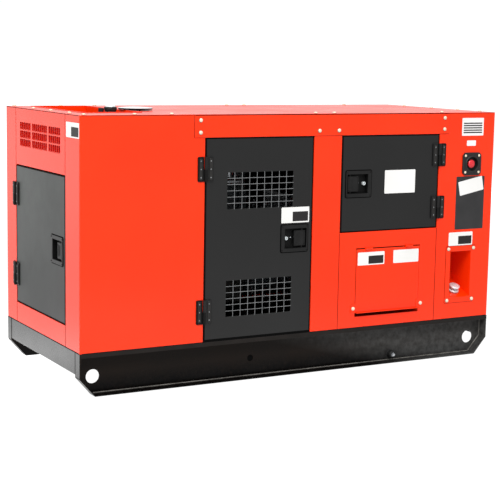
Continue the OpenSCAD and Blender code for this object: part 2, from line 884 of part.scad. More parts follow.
module latch_pan(with_lock) {
    difference() {
        union() {
            from_front(-latch_flange_t, latch_flange_t)
                translate([-latch_w / 2, -latch_h / 2]) round_rect(latch_w, latch_h, 8);
            translate([pan_shift - pan_out_w / 2, -eps, -pan_out_h / 2])
                cube([pan_out_w, pan_depth + pan_wall, pan_out_h]);
        }
        translate([pan_shift - pan_w / 2, -latch_flange_t - 1, -pan_h / 2])
            cube([pan_w, pan_depth + latch_flange_t + 1, pan_h]);
        translate([pivot_x, paddle_face + paddle_t, -pan_out_h])
            cylinder(d = paddle_pin_d + 2 * run_clear, h = 2 * pan_out_h);
        if (with_lock)
            translate([lock_x, -1, 0]) bar_y(lock_d + 2 * run_clear, pan_depth + pan_wall + 2);
    }
}

module paddle() {
    left = paddle_right - paddle_w;
    lip = 9;
    from_front(paddle_face, paddle_t)
        translate([left, -paddle_h / 2]) round_rect(paddle_w, paddle_h, 4);
    translate([left, paddle_face + paddle_t - eps, -paddle_h / 2 + 4]) cube([3, lip, paddle_h - 8]);
    translate([pivot_x, paddle_face + paddle_t, -paddle_h / 2 + 2]) cylinder(d = 10, h = paddle_h - 4);
    translate([pivot_x, paddle_face + paddle_t, -pan_out_h / 2]) cylinder(d = paddle_pin_d, h = pan_out_h);
}

// Lock plug with a key slot, seated in the pan's floor
module lock_plug() {
    difference() {
        union() {
            bar_y(lock_d, lock_out + pan_wall + 12);
            translate([0, lock_out + pan_wall + face_clear, 0]) bar_y(lock_d + 8, 6);
        }
        translate([-1.2, -1, -lock_d / 3]) cube([2.4, 9, lock_d / 1.5]);
    }
}

module engine_latch_place() {
    translate([engine_bay_end - latch_edge, 0, big_door_z + latch_z]) children();
}

module control_latch_place() {
    translate([control_bay_x + latch_edge, 0, control_door_z + control_door_h / 2])
        mirror([1, 0, 0]) children();
}

module end_latch_place() {
    on_left_end() translate([end_bay_w - latch_edge, 0, end_door_z + end_door_h / 2 - 8]) children();
}

module rear_latch_place() {
    translate([0, hood_w, 0]) mirror([0, 1, 0]) engine_latch_place() children();
}

// Doors

module grille_holes() {
    pitch_x = grille_hole_w + grille_bar;
    pitch_z = grille_hole_h + grille_bar;
    x0 = -(grille_cols * pitch_x - grille_bar) / 2;
    for (c = [0 : grille_cols - 1], r = [0 : grille_rows - 1])
        translate([x0 + c * pitch_x, r * pitch_z]) square([grille_hole_w, grille_hole_h]);
}

// Tall door with two grilles; its hinge edge at x = 0
module tall_door() {
    w = engine_bay_w - door_gap;
    translate([half_gap, 0, 0]) tray(w, big_door_h, door_t) {
        translate([grille_x - half_gap, grille_low_z]) grille_holes();
        translate([grille_x - half_gap, grille_high_z]) grille_holes();
        translate([engine_bay_w - latch_edge - half_gap, latch_z]) latch_hole();
    }
}

module engine_door() {
    color(charcoal) in_hood() translate([engine_bay_x, 0, big_door_z]) tall_door();
}

module rear_door() {
    color(charcoal) in_hood() translate([engine_bay_x, hood_w, big_door_z]) mirror([0, 1, 0]) tall_door();
}

module control_door() {
    w = control_bay_w - door_gap;
    color(charcoal) in_hood() translate([control_bay_x + half_gap, 0, control_door_z])
        tray(w, control_door_h, door_t)
            translate([latch_edge - half_gap, control_door_h / 2]) mirror([1, 0]) latch_hole();
}

module end_door() {
    w = end_bay_w - door_gap;
    color(charcoal) in_hood() on_left_end() translate([half_gap, 0, end_door_z + half_gap])
        tray(w, end_door_h - door_gap, door_t)
            translate([end_bay_w - latch_edge - half_gap, end_door_h / 2 - 8 - half_gap]) latch_hole();
}

module engine_door_leaves() {
    color(black) in_hood() engine_hinges() door_leaf();
}

module control_door_leaves() {
    color(black) in_hood() control_hinges() door_leaf();
}

module end_door_leaves() {
    color(black) in_hood() end_hinges() door_leaf();
}

module rear_door_leaves() {
    color(black) in_hood() rear_hinges() door_leaf();
}

module engine_latch_pan() {
    color(black) in_hood() engine_latch_place() latch_pan(true);
}

module control_latch_pan() {
    color(black) in_hood() control_latch_place() latch_pan(true);
}

module end_latch_pan() {
    color(black) in_hood() end_latch_place() latch_pan(false);
}

module rear_latch_pan() {
    color(black) in_hood() rear_latch_place() latch_pan(false);
}

module engine_paddle() {
    color(charcoal) in_hood() engine_latch_place() paddle();
}

module control_paddle() {
    color(charcoal) in_hood() control_latch_place() paddle();
}

module end_paddle() {
    color(charcoal) in_hood() end_latch_place() paddle();
}

module rear_paddle() {
    color(charcoal) in_hood() rear_latch_place() paddle();
}

module engine_lock() {
    color(steel) in_hood() engine_latch_place() translate([lock_x, pan_depth - lock_out, 0]) lock_plug();
}

module control_lock() {
    color(steel) in_hood() control_latch_place() translate([lock_x, pan_depth - lock_out, 0]) lock_plug();
}

// Output side

module output_flap() {
    tab_h = half_gap + flap_tab_h;
    ear_lap = 12;
    color(red) in_hood() translate([flap_x, 0, 0]) difference() {
        union() {
            translate([0, 0, flap_z]) cube([flap_w, sheet_t, flap_h]);
            translate([0, -flap_lip, flap_z]) cube([flap_w, flap_lip + sheet_t, sheet_t]);
            for (x = [-ear_w, flap_w - ear_lap])
                from_front(-sheet_t, sheet_t)
                    translate([x, flap_z]) round_rect(ear_w + ear_lap, ear_h, 10);
            for (x = [-ear_w / 2, flap_w + ear_w / 2])
                front_bolt(x, flap_z + ear_h / 2, -sheet_t);
            for (x = [flap_hinge_inset, flap_w - flap_hinge_inset - flap_knuckle_l])
                translate([x, -flap_out, flap_axis_z]) {
                    bar_x(flap_knuckle_d, flap_knuckle_l);
                    translate([0, 0, -tab_h]) cube([flap_knuckle_l, flap_out + eps, tab_h]);
                }
        }
        for (x = [flap_hinge_inset, flap_w - flap_hinge_inset - flap_knuckle_l])
            translate([x - 1, -flap_out, flap_axis_z]) bar_x(flap_pin_d + 2 * run_clear, flap_knuckle_l + 2);
    }
}

// Runs its children at both weld stud places, on the terminal board's face
module at_studs() {
    for (x = [-1, 1])
        translate([flap_x + (flap_w + x * stud_pitch) / 2, board_front, stud_z]) children();
}

module terminal_board() {
    color(black) in_hood() difference() {
        from_front(board_front, board_t) translate([window_x + board_fit, window_z + board_fit])
            square([window_w - 2 * board_fit, window_h - 2 * board_fit]);
        at_studs() translate([0, -1, 0]) bar_y(stud_d, board_t + 2);
    }
}

// Weld output studs, each with a nut in front of the board and one behind
module weld_studs() {
    tail = 14;
    color("#c9a24a") in_hood() at_studs() {
        translate([0, -stud_l, 0]) bar_y(stud_d, stud_l + board_t + tail);
        for (y = [-nut_t, board_t])
            translate([0, y, 0]) rotate([-90, 0, 0]) cylinder(d = nut_d, h = nut_t, $fn = 6);
    }
}

// Refuelling pocket

// Places children on the sloping floor where the filler neck comes through, +Z out of the neck
module at_filler() {
    translate([plug_x, plug_y, plug_z]) rotate([pocket_slope, 0, 0]) children();
}

module fuel_pocket() {
    rise = pocket_depth * tan(pocket_slope);
    side = [[0, 0], [pocket_depth, rise], [pocket_depth, pocket_h], [0, pocket_h]];
    t = sheet_t;
    outer = [[0, -t], [pocket_depth + t, rise], [pocket_depth + t, pocket_h + t], [0, pocket_h + t]];
    color(red) in_hood() difference() {
        union() {
            translate([pocket_x - t, 0, pocket_z]) rotate([90, 0, 90])
                linear_extrude(pocket_w + 2 * t) polygon(outer);
            from_front(-t, t) translate([pocket_x - pocket_border, pocket_z - pocket_border])
                round_rect(pocket_w + 2 * pocket_border, pocket_h + 2 * pocket_border, 4);
        }
        translate([pocket_x, 0, pocket_z]) rotate([90, 0, 90]) linear_extrude(pocket_w) polygon(side);
        translate([pocket_x, -t - 1, pocket_z]) cube([pocket_w, t + 2, pocket_h]);
        at_filler() translate([0, 0, -20]) cylinder(d = fuel_neck_d, h = 40);
    }
}

// Filler neck: a straight tube down from the pocket, a ball elbow and a level tube into the tank
module fuel_neck() {
    tank_end = tank_x + tank_l;
    elbow_d = fuel_neck_d * 1.45;
    past = 15;
    color(steel) in_hood() {
        difference() {
            union() {
                at_filler() translate([0, 0, -neck_drop]) cylinder(d = fuel_neck_d, h = neck_drop + neck_out);
                translate([plug_x, neck_end_y, neck_end_z]) sphere(d = elbow_d);
                translate([tank_end, neck_end_y, neck_end_z]) bar_x(fuel_neck_d, plug_x - tank_end);
            }
            at_filler() translate([0, 0, -neck_drop - past])
                cylinder(d = fuel_bore, h = neck_drop + past + neck_out + 1);
            translate([tank_end - 1, neck_end_y, neck_end_z]) bar_x(level_bore, plug_x - tank_end + 1);
        }
        at_filler() difference() {
            cylinder(d = fuel_cap_d, h = flange_t);
            translate([0, 0, -1]) cylinder(d = fuel_neck_d - 2, h = flange_t + 2);
        }
    }
}

// Vented filler cap with a fluted rim, turning on the neck
module fuel_cap() {
    flutes = 12;
    skirt = flange_t + face_clear;
    crown = 4;
    color("#d8d8d4") in_hood() at_filler() difference() {
        translate([0, 0, skirt]) union() {
            cylinder(d = fuel_cap_d - 6, h = fuel_cap_h - skirt - crown);
            translate([0, 0, fuel_cap_h - skirt - crown - eps])
                cylinder(d1 = fuel_cap_d - 6, d2 = fuel_cap_d - 20, h = crown);
            for (i = [0 : flutes - 1])
                rotate([0, 0, i * 360 / flutes]) translate([fuel_cap_d / 2 - 3.5, 0, 6])
                    cylinder(d = 6, h = fuel_cap_h - skirt - 16);
        }
        translate([0, 0, -1]) cylinder(d = fuel_neck_d + 2 * run_clear, h = neck_out + 1 + face_clear);
    }
}

// Emergency stop

// Housing with a plate on the panel's face and a cup behind it, in which the button moves
module estop_housing() {
    r = estop_w * 0.62;
    color(black) in_hood() translate([estop_x, -estop_proud, estop_z]) difference() {
        union() {
            from_front(0, estop_proud) intersection() {
                circle(r);
                translate([-estop_w / 2, -estop_w / 2]) round_rect(estop_w, estop_w, 12);
            }
            translate([0, 1, 0]) bar_y(2 * estop_cup_r, estop_depth - 1);
        }
        translate([0, -1, 0]) bar_y(2 * estop_ring_r, estop_depth - estop_floor + 1);
        bar_y(estop_d * 0.6 + 2 * run_clear, estop_depth + 1);
    }
}

module estop_button() {
    head_t = estop_depth - estop_floor - estop_travel - 2;
    color("#d3261c") in_hood() translate([estop_x, 1 - estop_proud, estop_z]) {
        translate([0, 2, 0]) bar_y(estop_d, head_t - 2);
        translate([0, 2 + eps, 0]) rotate([90, 0, 0]) cylinder(d1 = estop_d, d2 = estop_d - 8, h = 2);
        bar_y(estop_d * 0.6, estop_depth + 14);
    }
}

// Control compartment

module control_board() {
    x0 = control_bay_x + stop_w / 2;
    w = control_bay_w - stop_w;
    z0 = control_door_z + 10;
    h = control_door_h - 34;
    screen_w = 170;
    screen_h = 120;
    color(grey) in_hood() difference() {
        union() {
            translate([x0, control_board_y + sheet_t, z0]) mirror([0, 1, 0])
                tray(w, h, control_board_y + sheet_t - return_d);
            translate([x0 + 60, control_board_y - 16, z0 + h - screen_h - 30])
                cube([screen_w, 16 + eps, screen_h]);
            for (i = [0 : 3])
                translate([x0 + 280 + i * 55, control_board_y - 10, z0 + h - 70]) bar_y(30, 10 + eps);
            for (i = [0 : 2])
                translate([x0 + 360 + i * 50, control_board_y - 22, z0 + 60]) cube([38, 22 + eps, 90]);
        }
        translate([x0 + 75, control_board_y - 17, z0 + h - screen_h - 15])
            cube([screen_w - 30, 4, screen_h - 30]);
        for (p = [[knob_x, knob_z], [switch_x, knob_z]])
            translate([p[0], control_board_y - 1, p[1]]) bar_y(knob_shaft_d + 2 * run_clear, sheet_t + 2);
    }
}

// Shaft through the control board with a collar behind it, from the front end of a knob of length l
module knob_shaft(l) {
    bar_y(knob_shaft_d, l + sheet_t + 2 * collar_t);
    translate([0, l + sheet_t + face_clear, 0]) bar_y(collar_d, collar_t);
}

module current_knob() {
    grip_l = 14;
    color(black) in_hood() translate([knob_x, control_board_y - knob_l, knob_z]) difference() {
        union() {
            bar_y(knob_d - 14, grip_l);
            translate([0, grip_l - eps, 0]) bar_y(knob_d, knob_l - grip_l - face_clear);
            knob_shaft(knob_l);
        }
        translate([-1.5, -1, knob_d / 2 - 20]) cube([3, 3, 30]);
    }
}

module start_switch() {
    key = [5, 26, 32];
    color(steel) in_hood() translate([switch_x, control_board_y - switch_l, knob_z]) {
        bar_y(switch_d, switch_l - face_clear);
        translate([-key[0] / 2, -key[1], -key[2] / 2]) cube([key[0], key[1] + eps, key[2]]);
        knob_shaft(switch_l);
    }
}

// Engine and generator

// Crankcase outline across the machine, from the crank axis
module block_outline() {
    top = deck_z - crank_z;
    polygon([[-block_half_w, -60], [block_half_w, -60], [block_half_w, 50], [105, 120], [105, top],
        [-105, top], [-105, 120], [-block_half_w, 50]]);
}

// Runs a cross outline, drawn in Y and Z, along X
module along_x(l) {
    rotate([90, 0, 90]) linear_extrude(l) children();
}

module engine_block() {
    ribs = 5;
    rib_w = 10;
    boss_l = 18;
    bell_wall = 20;
    plate_t = 12;
    foot_x = engine_cross_x - engine_x;
    color(grey) in_hood() translate([engine_x, mid_y, crank_z]) difference() {
        union() {
            along_x(engine_l) block_outline();
            for (i = [0 : ribs - 1], s = [-1, 1])
                translate([40 + i * (engine_l - 90) / (ribs - 1), s * 116 - 11, 100]) cube([rib_w, 22, 190]);
            translate([engine_l - eps, 0, 0]) bar_x(bell_d, bell_l + eps);
            translate([-pump_l, 0, fan_rise]) bar_x(76, pump_l + eps);
            translate([-boss_l, 0, 0]) bar_x(120, boss_l + eps);
            for (s = [-1, 1])
                translate([foot_x, s * engine_foot_y, mount_h - crank_z]) {
                    translate([-foot_w / 2, -foot_l / 2, 0]) cube([foot_w, foot_l, foot_t]);
                    translate([-web_t / 2, -s * 25 - 40, 0]) cube([web_t, 80, crank_z - mount_h - 20]);
                }
        }
        translate([-boss_l - 1, 0, 0]) bar_x(crank_d + 2 * run_clear, boss_l + engine_l + plate_t + 2);
        translate([engine_l + plate_t, 0, 0]) bar_x(bell_d - 2 * bell_wall, bell_l);
        translate([-pump_l - 1, 0, fan_rise]) bar_x(fan_shaft_d + 2 * run_clear, 120);
    }
}

module cylinder_head() {
    cover_w = 150;
    z0 = deck_z;
    color(grey) in_hood() translate([engine_x, mid_y, z0]) {
        translate([10, -head_half_w, 0]) cube([engine_l - 20, 2 * head_half_w, head_h]);
        translate([25, 0, head_h - eps]) along_x(engine_l - 50) {
            translate([-cover_w / 2, 0]) square([cover_w, cover_h - 25]);
            translate([-cover_w / 2 + 25, 0]) square([cover_w - 50, cover_h]);
            for (s = [-1, 1])
                translate([s * (cover_w / 2 - 25), cover_h - 25]) circle(25);
        }
        translate([engine_l / 2 + 120, 0, head_h + cover_h - 1]) cylinder(d = 48, h = 12);
        translate([30, head_half_w - eps, 22]) cube([engine_l - 60, intake_w, 50]);
    }
}

module oil_pan() {
    pan_top = crank_z - 60;
    floor_z = 100;
    w = 250;
    t = 5;
    color(black) in_hood() translate([engine_x, mid_y - w / 2, 0]) difference() {
        from_front(0, w) polygon([[10, pan_top], [engine_l - 10, pan_top], [engine_l - 30, floor_z],
            [engine_l - 220, floor_z], [engine_l - 270, pan_top - 70], [20, pan_top - 60]]);
        from_front(t, w - 2 * t) polygon([[10 + t, pan_top + 1], [engine_l - 10 - t, pan_top + 1],
            [engine_l - 30 - t, floor_z + t], [engine_l - 220 + t, floor_z + t],
            [engine_l - 270 + t, pan_top - 70 + t], [20 + t, pan_top - 60 + t]]);
    }
}

module exhaust_muffler() {
    bend = 60;
    cone_l = 24;
    pipe_bore = exhaust_d - 6;
    log_y = mid_y - head_half_w - 45;
    log_z = deck_z + 45;
    log_d = 52;
    log_inset = 50;
    log_l = engine_l - 120;
    runner_inset = 25;
    runner_pitch = (log_l - 2 * runner_inset + 5) / 3;
    y0 = neck_y;
    color(steel) in_hood() {
        translate([muffler_x, y0, muffler_z])
            for (x = [60, muffler_l - 90])
                translate([x, -20, muffler_d / 2 - 3]) cube([30, 40, wall_h - muffler_z - muffler_d / 2 + 3]);
        difference() {
            union() {
                translate([muffler_x, y0, muffler_z]) {
                    bar_x(muffler_d, muffler_l);
                    translate([-cone_l, 0, 0]) rotate([0, 90, 0])
                        cylinder(d1 = exhaust_d, d2 = muffler_d, h = cone_l + eps);
                    translate([muffler_l - eps, 0, 0]) rotate([0, 90, 0])
                        cylinder(d1 = muffler_d, d2 = exhaust_d, h = cone_l);
                }
                translate([exhaust_x + bend, y0, muffler_z])
                    bar_x(exhaust_d, muffler_x - exhaust_x - bend - 20);
                translate([exhaust_x + bend, y0, muffler_z + bend]) rotate([90, 0, 0]) rotate([0, 0, 180])
                    rotate_extrude(angle = 90) translate([bend, 0]) circle(d = exhaust_d);
                translate([exhaust_x, y0, muffler_z + bend])
                    cylinder(d = exhaust_d, h = hood_h + 3 - muffler_z - bend);
            }
            translate([exhaust_x, y0, muffler_z + bend + 5]) cylinder(d = pipe_bore, h = hood_h);
        }
        translate([engine_x + log_inset, log_y, log_z]) {
            bar_x(log_d, log_l);
            for (i = [0 : 3])
                translate([runner_inset + i * runner_pitch, 0, 0]) bar_y(40, mid_y - head_half_w - log_y);
            translate([log_l - 2 * runner_inset, y0 - muffler_d / 2 - log_y, 0])
                cylinder(d = 44, h = muffler_z - log_z);
        }
    }
}

module air_cleaner() {
    d = 150;
    rim = 4;
    intake_y = mid_y + head_half_w + intake_w;
    y0 = intake_y + d / 2 + rim + 3;
    z0 = deck_z + 47;
    color(black) in_hood() {
        translate([engine_x + 90, y0, z0]) bar_x(d, 260);
        translate([engine_x + 78, y0, z0]) bar_x(d - 24, 12 + eps);
        translate([engine_x + 350 - eps, y0, z0]) bar_x(d + 2 * rim, 16);
        translate([engine_x + 240, intake_y, z0]) bar_y(46, y0 - intake_y);
        translate([engine_x + 60, y0, z0 + 10]) bar_x(60, 20);
    }
}

module radiator() {
    fins = 40;
    fin_pitch = core_w / fins;
    fin_depth = 8;
    post_w = 30;
    foot_lap = 30;
    overflow_d = 20;
    overflow_rise = 9;
    wall = 4;
    color(black) in_hood() {
        translate([core_x, core_y, core_z]) linear_extrude(core_top - core_z) difference() {
            square([core_t, core_w]);
            for (i = [1 : fins - 2], x = [-1, core_t - fin_depth])
                translate([x, (i + 0.2) * fin_pitch]) square([fin_depth + 1, fin_pitch * 0.6]);
        }
        for (z = [core_z - tank_cap_h, core_top])
            translate([core_x - 10, core_y - 10, z]) cube([core_t + 20, core_w + 20, tank_cap_h]);
        for (y = [core_y + 10, core_y + core_w - 10 - post_w])
            translate([core_x, y, 0]) cube([core_t, post_w, core_z - tank_cap_h + eps]);
        translate([core_x - foot_lap, core_y, 0]) cube([core_t + 2 * foot_lap, core_w, 8]);
        difference() {
            union() {
                translate([neck_x, neck_y, core_top + tank_cap_h - eps])
                    cylinder(d = neck_d, h = hood_h + rad_cap_rise - neck_top_drop - core_top - tank_cap_h);
                translate([neck_x - overflow_x, neck_y, core_top + tank_cap_h - eps])
                    cylinder(d = overflow_d, h = hood_h + overflow_rise - core_top - tank_cap_h);
                translate([neck_x - overflow_x, neck_y - 6, core_top + tank_cap_h + 35])
                    cube([overflow_x, 12, 12]);
            }
            translate([neck_x, neck_y, core_top + tank_cap_h + wall])
                cylinder(d = neck_d - 2 * wall, h = hood_h);
        }
        translate([shroud_x - eps, core_y, core_z]) difference() {
            cube([shroud_d, core_w, core_top - core_z]);
            translate([-1, wall, wall])
                cube([shroud_d + 1 - wall, core_w - 2 * wall, core_top - core_z - 2 * wall]);
            translate([0, mid_y - core_y, fan_z - core_z]) bar_x(2 * ring_r, shroud_d + 1);
        }
        translate([shroud_x + shroud_d - wall, mid_y, fan_z]) difference() {
            bar_x(2 * (ring_r + wall), ring_l);
            translate([-1, 0, 0]) bar_x(2 * ring_r, ring_l + 2);
        }
    }
}

// Radiator cap: a turned body with two grip ears
module radiator_cap() {
    z0 = hood_h + rad_cap_rise - rad_cap_h;
    r = rad_cap_d / 2;
    bore_r = neck_d / 2 + run_clear;
    bore_top = rad_cap_h - neck_top_drop + face_clear;
    rim_z = 8;
    crown = 3;
    color(black) in_hood() translate([neck_x, neck_y, z0]) {
        rotate_extrude() polygon([[bore_r, 0], [r - 3, 0], [r - 3, rim_z], [r, rim_z], [r, rad_cap_h - crown],
            [r - 4, rad_cap_h], [0, rad_cap_h], [0, bore_top], [bore_r, bore_top]]);
        for (a = [60, 240])
            rotate([0, 0, a]) translate([r - 6, -9, rim_z + 1]) cube([11, 18, 7]);
    }
}

// Grooved pulley along X
module pulley(d) {
    rim = 5;
    r = d / 2;
    floor_r = r - groove_depth;
    floor_half = belt_w / 2 - 1.5;
    mid = pulley_w / 2;
    rotate([0, 90, 0]) rotate_extrude() polygon([[0, 0], [r, 0], [r, rim], [floor_r, mid - floor_half],
        [floor_r, mid + floor_half], [r, pulley_w - rim], [r, pulley_w], [0, pulley_w]]);
}

module crank_train() {
    shaft_end = generator_x + generator_l + 14;
    rotor_d = generator_d - 120;
    rotor_inset = 60;
    flywheel_t = 30;
    nose = 8;
    color(steel) in_hood() translate([0, mid_y, crank_z]) {
        translate([belt_x - nose, 0, 0]) bar_x(crank_d, shaft_end - belt_x + nose);
        translate([belt_x, 0, 0]) pulley(crank_pulley_d);
        translate([bell_x + 22, 0, 0]) bar_x(generator_d - 10, flywheel_t);
        translate([generator_x + rotor_inset, 0, 0]) bar_x(rotor_d, generator_l - rotor_inset - 80);
    }
}

module cooling_fan() {
    blade_w = 46;
    blade_t = 3;
    hub_d = 92;
    blade_in = 30;
    color("#3b3d3f") in_hood() translate([0, mid_y, fan_z]) {
        translate([fan_x, 0, 0]) bar_x(hub_d, 36);
        translate([fan_x + 30, 0, 0]) bar_x(fan_shaft_d, engine_x - fan_x - 30 + 60);
        translate([belt_x, 0, 0]) pulley(fan_pulley_d);
        for (i = [0 : fan_blades - 1])
            rotate([i * 360 / fan_blades, 0, 0]) translate([fan_x + 18, 0, blade_in])
                rotate([0, 0, 55]) translate([-blade_w / 2, -blade_t / 2, 0])
                    cube([blade_w, blade_t, fan_d / 2 - blade_in - 2]);
    }
}

// Belt loop round two circles, crank at the origin and fan at height fan_rise
module belt_loop(r0, r1) {
    hull() {
        circle(r0, $fn = 96);
        translate([0, fan_rise]) circle(r1, $fn = 96);
    }
}

module fan_belt() {
    seat = groove_depth - face_clear;
    r0 = crank_pulley_d / 2 - seat;
    r1 = fan_pulley_d / 2 - seat;
    w = belt_w - 5;
    color(black) in_hood() translate([belt_x + (pulley_w - w) / 2, mid_y, crank_z]) along_x(w) difference() {
        belt_loop(r0 + belt_t, r1 + belt_t);
        belt_loop(r0, r1);
    }
}

module welding_generator() {
    fins = 28;
    d = generator_d;
    bore = d - 100;
    end_t = 22;
    color(grey) in_hood() translate([generator_x, mid_y, crank_z]) {
        difference() {
            union() {
                translate([30, 0, 0]) along_x(generator_l - 90) {
                    circle(d = d - 24);
                    for (i = [0 : fins - 1])
                        rotate(i * 360 / fins) translate([d / 2 - 20, -4]) square([20, 8]);
                }
                bar_x(bell_d, 30 + eps);
                translate([generator_l - 60 - eps, 0, 0]) bar_x(d, 60);
            }
            translate([-1, 0, 0]) bar_x(bore, generator_l - end_t + 1);
            bar_x(crank_d + 2 * run_clear, generator_l + 1);
            for (i = [0 : 7])
                rotate([i * 45, 0, 0]) translate([generator_l - end_t - 1, 0, d / 4]) bar_x(44, end_t + 2);
        }
        translate([120, -110, d / 2 - 30]) cube([230, 220, 110]);
        for (s = [-1, 1])
            translate([generator_cross_x - generator_x, s * generator_foot_y, mount_h - crank_z]) {
                translate([-foot_w / 2, -foot_l / 2, 0]) cube([foot_w, foot_l, foot_t]);
                translate([-web_t / 2, -s * 17.5 - 32.5, 0]) cube([web_t, 65, crank_z - mount_h - 30]);
            }
    }
}

module battery() {
    l = battery_l;
    w = 175;
    h = 200;
    y0 = hood_w - 300;
    color(black) in_hood() translate([battery_x, y0, 0]) {
        linear_extrude(h) round_rect(l, w, 6);
        translate([6, 6, h - eps]) cube([l - 12, w - 12, 14]);
        for (x = [40, l - 40])
            translate([x, 40, h + 14 - eps]) cylinder(d = 18, h = 18);
        translate([l / 2 - 90, w / 2 - 8, h + 14 - eps]) cube([180, 16, 20]);
    }
}

module rubber_mounts() {
    color(black) in_hood() {
        for (s = [-1, 1])
            translate([engine_cross_x, mid_y + s * engine_foot_y, 0])
                cylinder(d = mount_d, h = mount_h);
        for (s = [-1, 1])
            translate([generator_cross_x, mid_y + s * generator_foot_y, 0])
                cylinder(d = mount_d, h = mount_h);
    }
}

front_rail();
rear_rail();
skid_crossmembers();
fuel_tank();
front_left_panel();
front_right_panel();
rear_left_panel();
rear_right_panel();
top_beams();
mid_post();
output_panel();
left_end_panels();
right_end_panel();
roof_panel();
hot_air_duct();
rain_cover();
canopy_bolts();
frame_hinge_leaves();
engine_door();
engine_door_leaves();
engine_latch_pan();
engine_paddle();
engine_lock();
control_door();
control_door_leaves();
control_latch_pan();
control_paddle();
control_lock();
end_door();
end_door_leaves();
end_latch_pan();
end_paddle();
rear_door();
rear_door_leaves();
rear_latch_pan();
rear_paddle();
output_flap();
terminal_board();
weld_studs();
fuel_pocket();
fuel_neck();
fuel_cap();
estop_housing();
estop_button();
control_board();
current_knob();
start_switch();
engine_block();
cylinder_head();
oil_pan();
exhaust_muffler();
air_cleaner();
radiator();
radiator_cap();
crank_train();
cooling_fan();
fan_belt();
welding_generator();
battery();
rubber_mounts();
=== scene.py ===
"""Looks of a canopied engine driven welder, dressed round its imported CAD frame."""

import json
import logging
import math
from dataclasses import dataclass, replace
from enum import Enum
from typing import Iterable, Iterator, Optional, Sequence

import bmesh
import bpy
from mathutils import Matrix, Vector

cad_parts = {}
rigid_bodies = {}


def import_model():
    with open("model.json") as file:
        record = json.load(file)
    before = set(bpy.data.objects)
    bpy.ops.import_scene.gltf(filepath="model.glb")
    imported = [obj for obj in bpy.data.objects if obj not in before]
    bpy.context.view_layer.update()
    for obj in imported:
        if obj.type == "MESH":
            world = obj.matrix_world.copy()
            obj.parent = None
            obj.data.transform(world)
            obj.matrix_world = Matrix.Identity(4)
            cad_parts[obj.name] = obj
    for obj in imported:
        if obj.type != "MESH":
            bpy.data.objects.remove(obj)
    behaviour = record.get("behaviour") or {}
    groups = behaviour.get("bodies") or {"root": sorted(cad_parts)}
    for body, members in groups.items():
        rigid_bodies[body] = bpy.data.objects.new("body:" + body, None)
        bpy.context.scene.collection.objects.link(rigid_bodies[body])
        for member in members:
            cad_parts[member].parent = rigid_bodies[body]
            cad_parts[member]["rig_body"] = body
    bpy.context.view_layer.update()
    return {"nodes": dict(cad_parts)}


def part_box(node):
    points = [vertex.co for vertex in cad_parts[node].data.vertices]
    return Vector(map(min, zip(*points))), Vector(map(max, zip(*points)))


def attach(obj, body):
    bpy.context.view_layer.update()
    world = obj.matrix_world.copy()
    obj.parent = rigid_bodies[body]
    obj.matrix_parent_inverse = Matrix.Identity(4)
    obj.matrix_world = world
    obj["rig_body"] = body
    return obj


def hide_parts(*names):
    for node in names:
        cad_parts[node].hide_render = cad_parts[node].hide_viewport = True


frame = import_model()

LOG = logging.getLogger("engine_driven_welder")
MM = 0.001
SKID_H = 190.0
# Every place below is in millimetres from the canopy's front left lower corner
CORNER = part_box("front_rail")[0] + Vector((0.0, 0.0, SKID_H * MM))
# Takes a shape drawn in those millimetres to its place
IN_HOOD = Matrix.Translation(CORNER) @ Matrix.Scale(MM, 4)
HOOD_L, HOOD_W, HOOD_H = 2155.0, 920.0, 1000.0
SHEET = 2.5
# Radius of the folded and cut edges of the sheets
SHEET_BEND = 1.1
# Edges above SHARP get rounded; edges above CREASE stay creased in the shading, and those below LEVEL are no edges
SHARP = math.radians(35)
CREASE = math.radians(50)
LEVEL = math.radians(0.5)
# A rounding has less than this share of the area of the broad face beside it
NARROW = 0.25
# An edge of a CAD node is rounded where it is longer than LONG radii and the faces beside it are wider than LEAST
LONG, LEAST = 10, 2.0
# Corners of a CAD node that are nearer than this, in metres, are one; after rounding, those nearer than the second
SAME, MET = 1e-6, 1e-5
# The machine's body, which carries all that doesn't move
STILL = "machine"
Point = tuple[float, float]
Place = tuple[float, float, float]


class Side(Enum):
    """A face of the machine: its right, up and outward axes as seen from outside."""

    FRONT = ((1, 0, 0), (0, 0, 1), (0, -1, 0))
    REAR = ((-1, 0, 0), (0, 0, 1), (0, 1, 0))
    LEFT = ((0, -1, 0), (0, 0, 1), (-1, 0, 0))
    RIGHT = ((0, 1, 0), (0, 0, 1), (1, 0, 0))
    TOP = ((1, 0, 0), (0, 1, 0), (0, 0, 1))

    def at(self, x: float, y: float, z: float, spin: float = 0.0) -> Matrix:
        """Gives the matrix that takes a shape drawn in millimetres to a place on this face.

        Args:
            x, y, z: The place, from the canopy's corner.
            spin: Turn about the outward axis, in degrees.

        Returns:
            The matrix from the shape's own axes to the frame, in metres.
        """
        turn = Matrix([Vector(axis) for axis in self.value]).transposed().to_4x4()
        spot = Matrix.Translation(CORNER + Vector((x, y, z)) * MM)
        return spot @ turn @ Matrix.Rotation(math.radians(spin), 4, "Z") @ Matrix.Scale(MM, 4)


def linear(colour: str) -> tuple[float, float, float, float]:
    """Turns an sRGB hex colour to linear light.

    Args:
        colour: The colour as #rrggbb.

    Returns:
        Red, green, blue and alpha.
    """
    parts = (int(colour[i:i + 2], 16) / 255 for i in (1, 3, 5))
    r, g, b = (c / 12.92 if c <= 0.04045 else ((c + 0.055) / 1.055) ** 2.4 for c in parts)
    return (r, g, b, 1.0)


